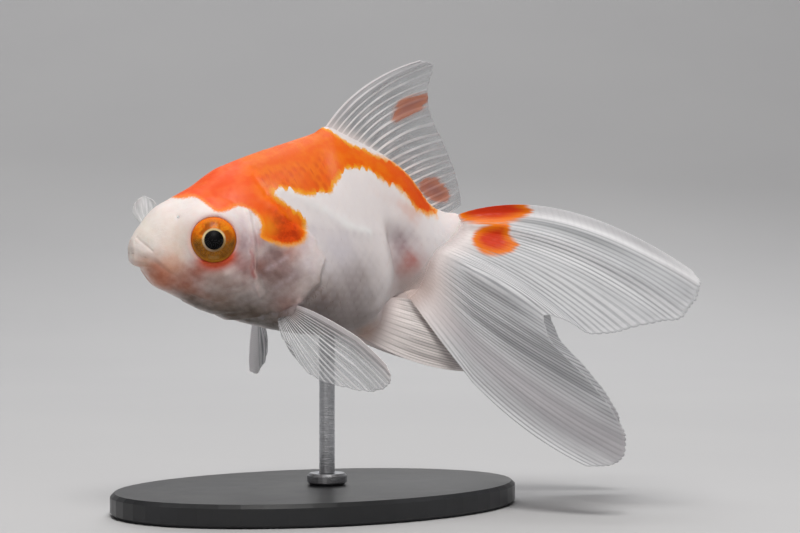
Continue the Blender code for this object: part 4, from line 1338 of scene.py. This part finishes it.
# %% Make the fins
def flat_sheet(name, columns, rows):
    """A grid, and each point's place across and along it, from 0 to 1."""
    bm = bmesh.new()
    bmesh.ops.create_grid(bm, x_segments=columns, y_segments=rows, size=0.5)
    thing = new_object(name, bm)
    flat = places_of(thing) + 0.5
    return thing, flat[:, 0], flat[:, 1]


def thickened(thing, thickness, group=""):
    """The sheet made into a closed body."""
    thick = thing.modifiers.new("thickness", "SOLIDIFY")
    thick.thickness = thickness
    thick.offset = 0
    thick.vertex_group = group
    with_modifiers_applied(thing)
    thing.data.shade_smooth()
    faced_outward(thing)
    return thing


def ray_pattern(looks, across, along, widest):
    """Three values for every point: place counts the rays, a little unevenly, ray is 1 on a ray or branch and
    0 between them, and first is 1 on the fin's plain front edge."""
    rays = looks["rays"] - 1
    place = across / widest * rays
    uneven = np.sin(place * 1.9 + 5 * along) * np.sin(math.pi * np.clip(place / rays, 0, 1))
    place = place + 0.10 * uneven * along
    near = off_ray(place, along, looks["split"]) / branch_room(along, looks["split"])
    ray = 1 - step(looks["cover"] * 0.7, looks["cover"] * 1.25, near)
    first = 1 - step(looks["band"] * 0.8, looks["band"] * 1.1, across)
    return place, ray, first


def waved_sheet(looks, shape, folds, across, along, place, ray, first):
    """The fan, with its free edge cut back between the branches, its small waves and its folds."""
    trim = 0.004 * (1 - ray) + 0.002 * (1 + np.sin(place * 2.7 + 1.0)) * hump(along - 1, 0.2)
    points = shape(across, along * (1 - trim * step(0.5, 1, along)))
    faces = unit(np.cross(np.gradient(points, axis=0), np.gradient(points, axis=1)))
    wave = looks["sway"] * np.sin(place * 2 * math.pi * 0.5 + 0.7) * step(0.05, 0.6, along) * (1 - first)
    wave = wave + 0.14 * np.sin(place * 0.9 + 6.0 * along) * along
    for centre, width, height, start in folds:
        fold = height * hump(across - centre, width)
        wave = wave + fold * step(start, start + 0.25, along) * (1 - step(0.75, 1.0, along))
    wave = wave + 0.02 * np.sin(along * 150) * ray * (1 - along)
    return points + faces * wave[..., None]


def fin_thickness(looks, along, place, ray, first):
    """Rays in a thin web. The root is fleshy, but thinned to a feather edge where it leaves the body."""
    ray_thickness = looks["ray"] * (1 - 0.45 * along) + looks["front"] * hump(place, 0.5) * (1 - 0.6 * along)
    thickness = WEB + ray_thickness * ray * (1 - first) * step(0.08, 0.42, along)
    thickness = thickness + looks["root"] * (1 - step(0.0, 0.16, along))
    return thickness * (0.1 + 0.9 * step(0.0, looks["feather"], along))


def make_fin(name, looks, shape, side, marks, folds, widest):
    """shape turns places across and along the fin into points, and widest is where across the fan ends."""
    columns, rows = looks["grid"]
    thing, column, row = flat_sheet(name, columns, rows)
    column, row = np.rint(column * columns).astype(int), np.rint(row * rows).astype(int)
    along, across = np.meshgrid(np.linspace(0, 1, rows + 1), np.linspace(0, widest, columns + 1))
    place, ray, first = ray_pattern(looks, across, along, widest)
    points = waved_sheet(looks, shape, folds, across, along, place, ray, first) * (1, side, 1)
    thickness = fin_thickness(looks, along, place, ray, first)
    straight = points[column, row]
    send_to(thing, in_world(straight))
    group = thing.vertex_groups.new(name="thickness")
    for index, weight in enumerate((thickness / thickness.max())[column, row].tolist()):
        group.add([index], weight, "REPLACE")

    depth = np.full(across.shape, -2.0)
    for outline in marks:
        depth = np.maximum(depth, depth_inside(points[..., (0, 2)], rounded(outline)))
    # shade is painted shade in the recess under the tail's folded front band
    lilac, shade = (hump(across - looks[key][0], looks[key][1]) for key in ("lilac", "shade"))
    shade = shade * step(0.08, 0.25, along) * (1 - step(0.55, 0.85, along))
    for key, values in {
        "ray_place": place, "ray_run": along, "marking": depth, "front_ray": first, "veil": lilac,
        "dense": np.interp(across, *zip(*looks["dense"])), "shade": shade,
    }.items():  # fmt: skip
        store(thing, key, values[column, row])
    store(thing, "tint_with_painted_light", tinted_with_painted_light(straight), "FLOAT_COLOR")
    return thickened(thing, float(thickness.max()) * MM, "thickness")


TAIL_FOLDS = (  # where across the fan, half width, height, and where along it each starts
    (0.1, 0.1, 0.9, 0.0), (0.3, 0.08, -0.7, 0.0), (0.52, 0.1, 0.3, 0.2), (1.0, 0.07, -0.5, 0.3),
    (1.5, 0.1, 0.4, 0.2),
)  # fmt: skip


def fin_pieces():
    """Every fin's name, kind, side, markings, folds and the nodes that it replaces."""
    yield "dorsal_fin", "dorsal_fin", LEFT, DORSAL_MARKS, (), ("dorsal_fin",)
    for kind, side in (("pectoral_fin_left", LEFT), ("pectoral_fin_right", RIGHT)):
        yield kind, kind, side, (), (), (kind,)
    for name, side in SIDES.items():
        yield f"pelvic_fin_{name}", "pelvic_fin", side, (), (), (f"pelvic_fin_{name}",)
        yield f"anal_fin_{name}", "anal_fin", side, (), (), (f"anal_fin_{name}",)
        lobes = (f"tail_upper_{name}", f"tail_lower_{name}")
        yield f"tail_{name}", "tail", side, TAIL_MARKS[side], TAIL_FOLDS, lobes


def skin_width():
    """How far the skin stands from the middle, for places along the rear body and heights on it. Past its
    back, belly and end the number falls below 0."""
    heights = np.linspace(-16, 20, 145)
    table = []
    for row in np.flatnonzero(RING_X > 38):
        side = skin[row, : AROUND // 2 + 1]
        past = np.maximum(np.maximum(heights - side[0, 2], side[-1, 2] - heights), 0)
        table.append(np.interp(-heights, -side[:, 2], -side[:, 1]) - 2 * past)
    return RING_X[RING_X > 38], heights, np.array(table)


STAND_OFF = skin_width()


def tail_on_body(side, across, along):
    """The tail's fan, but where it starts inside the body it lies on the skin, and it leaves the skin in a
    soft curve, as flesh does. Only its very root is tucked under. The right half's notch is cut less deep."""
    reach = 1 + (0.06 * hump(across - 1.1, 0.16) if side == RIGHT else 0)
    sheet = tail_half(across, along * reach)
    places, heights, table = STAND_OFF
    row = np.interp(sheet[..., 0], places, np.arange(len(places)))
    column = np.interp(sheet[..., 2], heights, np.arange(len(heights)))
    i, j = np.minimum(row.astype(int), len(places) - 2), np.minimum(column.astype(int), len(heights) - 2)
    width = between(table, i, j, j + 1, row - i, column - j) - 1.5 * np.maximum(sheet[..., 0] - places[-1], 0)
    soft = 0.12 + 0.9 * step(0.0, 0.16, along)
    away = soft * np.logaddexp(0, (sheet[..., 1] - width) / soft)
    sheet[..., 1] = width + away - 0.4 * (1 - step(0.0, 0.1, along))
    return sheet


fins = {}
for name, kind, side, marks, folds, nodes in fin_pieces():
    shape, widest = partial(fan, kind), 1.0
    if kind == "tail":
        shape, widest = partial(tail_on_body, side), 2.0
    piece = make_fin(f"{name}_rays", LOOKS[kind], shape, side, marks, folds, widest)
    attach(piece, "root")
    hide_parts(*nodes)
    fins.setdefault(kind, []).append(piece)
    print(piece.name, len(piece.data.polygons), "faces")

# %% [markdown]
# ## Fins' finish
# The rays are nearly opaque and white. The web lets about half of the light of what lies behind it through,
# so the shader's alpha is lower there. Toward the root both thicken into flesh. Short cross lines mark the
# joints that a real ray has along its length.


# %% Fin finish
def drawn_out(bench, across, along):
    """A noise stretched along the rays."""
    where = {0: bench.times(bench.value("ray_place"), across), 1: bench.times(bench.value("ray_run"), along)}
    return bench.noise(1.0, where=bench.node("CombineXYZ", where), rough=0.6)


def shown_rays(bench, looks, fibre):
    """How strongly the rays show. Some stand out and some hardly do, and each has finer fibres in it."""
    run, distance, room = bench.value("ray_run"), bench.math("PINGPONG", bench.value("ray_place"), 0.5), 0.5
    if looks["split"] < NEVER:
        grown = bench.soft(run, looks["split"] - SPLIT_RUN, looks["split"])
        distance = bench.math("ABSOLUTE", bench.math("MULTIPLY_ADD", grown, -0.25, distance))
        room = bench.times(room, bench.math("MULTIPLY_ADD", grown, -0.5, 1.0))
    near = bench.math("DIVIDE", distance, room)
    ray = bench.soft(near, looks["cover"] * 1.35, looks["cover"] * 0.6)
    clusters = bench.soft(drawn_out(bench, 0.9, 1.6), 0.3, 0.62, 0.35, 1.0)
    clusters = bench.times(clusters, bench.value("dense"))
    ray = bench.times(ray, bench.math("MULTIPLY_ADD", clusters, 0.7, 0.3))
    ray = bench.most(ray, bench.times(bench.soft(fibre, 0.5, 0.75), bench.times(clusters, 0.4)))
    ray = bench.times(ray, bench.soft(run, 0.25, 1.0, 1.0, looks["fade"]))
    return bench.most(ray, bench.value("front_ray"))


def fin_finish(kind):
    """White rays in a half-clear web, with flesh at the root and the fin's own markings."""
    looks = LOOKS[kind]
    bench = Bench(kind + "_web")
    run, fibre = bench.value("ray_run"), drawn_out(bench, 2.6, 4.0)
    ray = shown_rays(bench, looks, fibre)
    joints = bench.times(bench.soft(bench.math("SINE", bench.times(run, 230.0)), 0.2, 0.9), 0.14)
    flesh = bench.soft(run, looks["flesh"] * 1.7, looks["flesh"] * 0.3)
    if kind == "pectoral_fin_left":  # only its front half is fleshy
        flesh = bench.times(flesh, bench.soft(bench.value("ray_place"), 13.0, 6.0, 0.2, 1.0))
    # a pale rim along the free edge, a painted highlight, which also hides what lies behind it
    edge = bench.soft(run, 0.985, 0.997, 0.0, 0.4)

    web = bench.blend(fibre, 0.3, 0.7, *looks["web"])
    bone = bench.mix(joints, *(paint(*tone) for tone in looks["bone"]))
    colour = bench.mix(bench.most(ray, edge), web, bone)
    colour = bench.mix(bench.times(bench.value("veil"), 0.4), colour, paint(*looks["veil"]))
    # painted shade: grey in the recess under the tail's folded front band
    colour = bench.mix(bench.times(bench.value("shade"), 0.55), colour, paint(116, 120, 122))
    colour = bench.mix(bench.times(flesh, 0.95), colour, bench.colour("tint_with_painted_light"))
    depth = bench.math("ADD", bench.value("marking"), bench.math("MULTIPLY_ADD", fibre, 1.4, -0.7))
    marked = bench.times(bench.soft(depth, -0.4, 0.5), looks["strength"])
    colour = bench.mix(marked, colour, bench.blend(depth, 0.2, 1.9, looks["fringe"], looks["stain"]))

    # rays, edge, flesh and markings hide what is behind them, and the web lets it show through
    alpha = bench.most(bench.most(ray, edge), flesh)
    alpha = bench.most(alpha, bench.times(bench.value("veil"), 0.6))
    thin = bench.soft(run, 0.1, 1.0, *looks["clear"])
    alpha = bench.node("MapRange", {"Value": alpha, "To Min": thin, "To Max": 0.99})
    if kind == "tail":  # its root runs out as clear skin, so the body shows through it
        alpha = bench.times(alpha, bench.soft(run, 0.02, 0.15))
        marked = bench.times(marked, bench.soft(run, 0.01, 0.03))
    alpha = bench.most(alpha, marked)
    bumps = bench.bump(bench.times(ray, bench.soft(run, 0.06, 0.35)), 0.00004, 0.4)
    bumps = bench.bump(fibre, 0.00004, 0.3, under=bumps)
    return bench.finished(
        Base_Color=colour, Roughness=0.45, Normal=bumps, Alpha=alpha, Specular_IOR_Level=0.2,
        Coat_Weight=0.08, Coat_Roughness=0.2,
    )  # fmt: skip


for kind, pieces in fins.items():
    finish = fin_finish(kind)
    for piece in pieces:
        dress(piece, finish)
print("fin finishes:", len(fins))

# %% [markdown]
# ## Flaps over the nostrils
# Between the two openings of each nostril stands a small leaf of skin that steers water into the nose. The
# right one is spread like a petal, and the left one lies back. They are thin sheets like the fins, with a
# wavy free edge.

# %% Nostril flaps
FLAPS = {
    "left": {"place": (6.5, 4.3, 5.1), "height": 1.1, "width": 1.3, "out": 0.4, "up": 0.1, "back": 1.0},
    "right": {"place": (4.3, 3.8, 4.4), "height": 4.6, "width": 4.0, "out": 0.3, "up": 1.0, "back": 0.0},
}


def make_flap(name, flap, side):
    """A leaf that stands on its root: rise points to its free edge, and wide runs along its root."""
    rise = unit(np.array((flap["back"], flap["out"] * side, flap["up"])))
    wide = unit(np.cross(np.cross((-0.85, 0.25 * side, -0.4), rise), rise))
    thing, across, along = flat_sheet(name, 60, 44)
    spread = flap["width"] * (0.35 + 0.65 * np.sin(math.pi * np.minimum(along * 0.75, 1)))
    edge = 1 - 0.3 * (2 * across - 1) ** 2 + 0.015 * np.sin(across * 15) * along
    height = flap["height"] * along * edge * 0.97
    face = np.cross(wide, rise)
    curl = 0.16 * np.sin(across * 7 + 1) * along + 0.3 * (2 * across - 1) ** 2 * along
    points = np.array(flap["place"]) * (1, side, 1) + wide * (spread * (across - 0.5))[:, None] * 0.97
    points = points + rise * (height - 0.25)[:, None] + face * curl[:, None]
    send_to(thing, in_world(points))
    store(thing, "flap_run", along)
    store(thing, "flap_across", across)
    store(thing, "flap_edge", np.minimum(np.minimum(across, 1 - across) * 3, 1 - along))
    return thickened(thing, 0.16 * MM)


def flap_finish():
    bench = Bench("nostril_flap")
    spread = {0: bench.times(bench.value("flap_across"), 9.0), 1: bench.value("flap_run")}
    veins = bench.noise(1.0, 3.0, bench.node("CombineXYZ", spread), 0.6)
    colour = bench.blend(veins, 0.4, 0.65, (206, 208, 210), (240, 240, 242))
    alpha = bench.soft(bench.value("flap_run"), 0.0, 0.4, 0.95, 0.6)
    alpha = bench.most(alpha, bench.soft(veins, 0.5, 0.7, 0.0, 0.8))
    alpha = bench.most(alpha, bench.soft(bench.value("flap_edge"), 0.1, 0.0, 0.0, 0.8))
    bumps = bench.bump(veins, 0.00006, 0.4)
    return bench.finished(Base_Color=colour, Roughness=0.4, Normal=bumps, Alpha=alpha, Coat_Weight=0.1)


flap_film = flap_finish()
for side, sign in SIDES.items():
    piece = make_flap(f"nostril_leaf_{side}", FLAPS[side], sign)
    dress(piece, flap_film)
    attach(piece, "root")
    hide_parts(f"nostril_flap_{side}")
print("flaps:", len(FLAPS))

# %% [markdown]
# ## The stand's finishes
# A museum stand is quiet: a black acrylic base with a satin surface and a brushed steel rod. Its solids
# have the right shape, so they stay and only get a finish. Satin plastic shows faint cloudy differences in
# gloss and a few fine scratches. Brushed steel has fine lines round the rod.


# %% Stand finishes
def acrylic_finish():
    bench = Bench("satin_acrylic")
    cloud = bench.noise(60, 3.0)
    scratch = bench.noise(500, 4.0, bench.stretched(1, 14, 1))
    colour = bench.blend(cloud, 0.3, 0.7, (30, 31, 33), (42, 43, 46))
    scratch = bench.soft(scratch, 0.62, 0.75, 0.0, 0.12)
    rough = bench.math("ADD", bench.soft(cloud, 0.3, 0.7, 0.3, 0.42), scratch)
    bumps = bench.bump(bench.noise(4200), 0.00002, 0.35)
    return bench.finished(Base_Color=colour, Roughness=rough, Normal=bumps, Specular_IOR_Level=0.5)


def steel_finish():
    bench = Bench("brushed_steel")
    lines = bench.noise(420, 4.0, bench.stretched(1, 1, 26), 0.65)
    colour = bench.blend(lines, 0.3, 0.7, (196, 197, 200), (168, 170, 175))
    rough, bumps = bench.soft(lines, 0.3, 0.7, 0.24, 0.4), bench.bump(lines, 0.00002, 0.4)
    return bench.finished(Base_Color=colour, Metallic=1.0, Roughness=rough, Normal=bumps)


acrylic, steel = acrylic_finish(), steel_finish()
for name, finish in {"stand_base": acrylic, "stand_collar": steel, "stand_rod": steel}.items():
    dress(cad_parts[name], finish)
print("stand:", acrylic.name, steel.name)

# %% [markdown]
# The solids stop a hair apart, so the rod ends just under the belly. On a real mount the rod ends in a pin
# that goes up into the figure and carries it. The pin starts inside the rod's own end and ends well inside
# the skin.

# %% Pin on the rod's end
PIN_RADIUS, PIN_IN_ROD, PIN_IN_BELLY = 1.18, 2.0, 1.6

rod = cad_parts["stand_rod"]
corners = np.array([rod.matrix_world @ v.co for v in rod.data.vertices])
rod_end = corners.max(0)[2]
middle = (corners.min(0) + corners.max(0)) / 2
bm = bmesh.new()
bmesh.ops.create_cone(
    bm, cap_ends=True, segments=48, radius1=PIN_RADIUS, radius2=PIN_RADIUS, depth=PIN_IN_ROD + PIN_IN_BELLY,
)  # fmt: skip
pin = new_object("stand_pin", bm)
lift = rod_end + (PIN_IN_BELLY - PIN_IN_ROD) / 2 * MM
send_to(pin, places_of(pin) * MM + (middle[0], middle[1], lift))
faced_outward(pin)
dress(pin, steel)
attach(pin, "root")
print("pin from", np.round(places_of(pin).min(0), 4), "to", np.round(places_of(pin).max(0), 4))

# %% [markdown]
# ## Camera
# The fish is seen from its left and a little from the front, at its own height, through a long lens. The
# distance sets how much of the near fins' size differs from the far ones', so it matters as much as the
# direction.

# %% Camera
VIEW_TURN = math.radians(28.0)
VIEW_DISTANCE = 302.0
AIM = np.array((43.5, -6.1, -2.5))

lens = bpy.data.cameras.new("camera")
lens.lens, lens.sensor_width = 85.0, 36.0
lens.clip_start, lens.clip_end = 0.01, 20.0
camera = bpy.data.objects.new("camera", lens)
bpy.context.scene.collection.objects.link(camera)
back_off = np.array((math.sin(VIEW_TURN), math.cos(VIEW_TURN), 0.0)) * VIEW_DISTANCE
camera.location = (AIM - back_off + ORIGIN) * MM
camera.rotation_euler = (math.radians(90), 0, -VIEW_TURN)
bpy.context.scene.camera = camera
print("camera at", [round(v, 3) for v in camera.location])

# %% [markdown]
# ## Studio
# A plain pale sheet is the floor and sweeps up behind the fish, without a corner, so nothing distracts from
# it. One large soft light from above and in front gives the wet highlights, a weaker one fills the shadows,
# a third from behind shows that the fins let light through, and a fourth brightens the wall.


# %% Floor and lights
def make_sweep():
    """A grid that lies flat, and bends up into a wall behind. Its sizes are in metres."""
    thing, across, along = flat_sheet("sweep", 2, 64)
    run = along * 4.2 - 1.6
    start, radius = 0.35, 1.1
    bend = np.clip((run - start) / radius, 0, math.pi / 2)
    up_the_wall = np.maximum(run - start - radius * math.pi / 2, 0)
    y = np.where(run < start, run, start + radius * np.sin(bend))
    z = np.where(run < start, 0, radius * (1 - np.cos(bend)) + up_the_wall)
    x = (across - 0.5) * 6
    cos, sin = math.cos(VIEW_TURN), math.sin(VIEW_TURN)
    send_to(thing, np.stack([x * cos + y * sin, y * cos - x * sin, z], -1))
    return thing


def soft_light(name, place, aim, size, power, colour=(1, 1, 1)):
    """A round lamp that looks from its place to its aim, in metres and watts."""
    light = bpy.data.lights.new(name, "AREA")
    light.shape, light.size, light.energy, light.color = "DISK", size, power, colour
    made = bpy.data.objects.new(name, light)
    bpy.context.scene.collection.objects.link(made)
    made.location = place
    away = unit(np.array(place) - aim)
    made.rotation_euler = (math.acos(away[2]), 0, math.atan2(away[1], away[0]) + math.pi / 2)


bench = Bench("pale_paper")
paper = bench.mix(bench.noise(9, 3.0), paint(192, 192, 194), paint(198, 198, 199))
paper = bench.finished(Base_Color=paper, Roughness=0.9, Specular_IOR_Level=0.2)
sweep = make_sweep()
dress(sweep, paper)

MIDDLE = (0.0, 0.0, 0.04)
soft_light("key", (-0.12, -0.34, 0.62), MIDDLE, 0.34, 3.45, (1.0, 0.985, 0.96))
soft_light("fill", (-0.55, -0.60, 0.22), MIDDLE, 0.6, 0.35, (1.0, 0.95, 0.92))
soft_light("back", (0.30, 0.40, 0.45), MIDDLE, 0.4, 1.0)
soft_light("wall", (0.1, 0.6, 1.6), (0.5, 1.4, 0.3), 1.2, 12.0)

world = bpy.data.worlds.new("studio")
world.use_nodes = True
background = world.node_tree.nodes["Background"].inputs
background["Color"].default_value, background["Strength"].default_value = (0.90, 0.85, 0.82, 1), 0.115
bpy.context.scene.world = world
bpy.context.scene.view_settings.view_transform = "Standard"
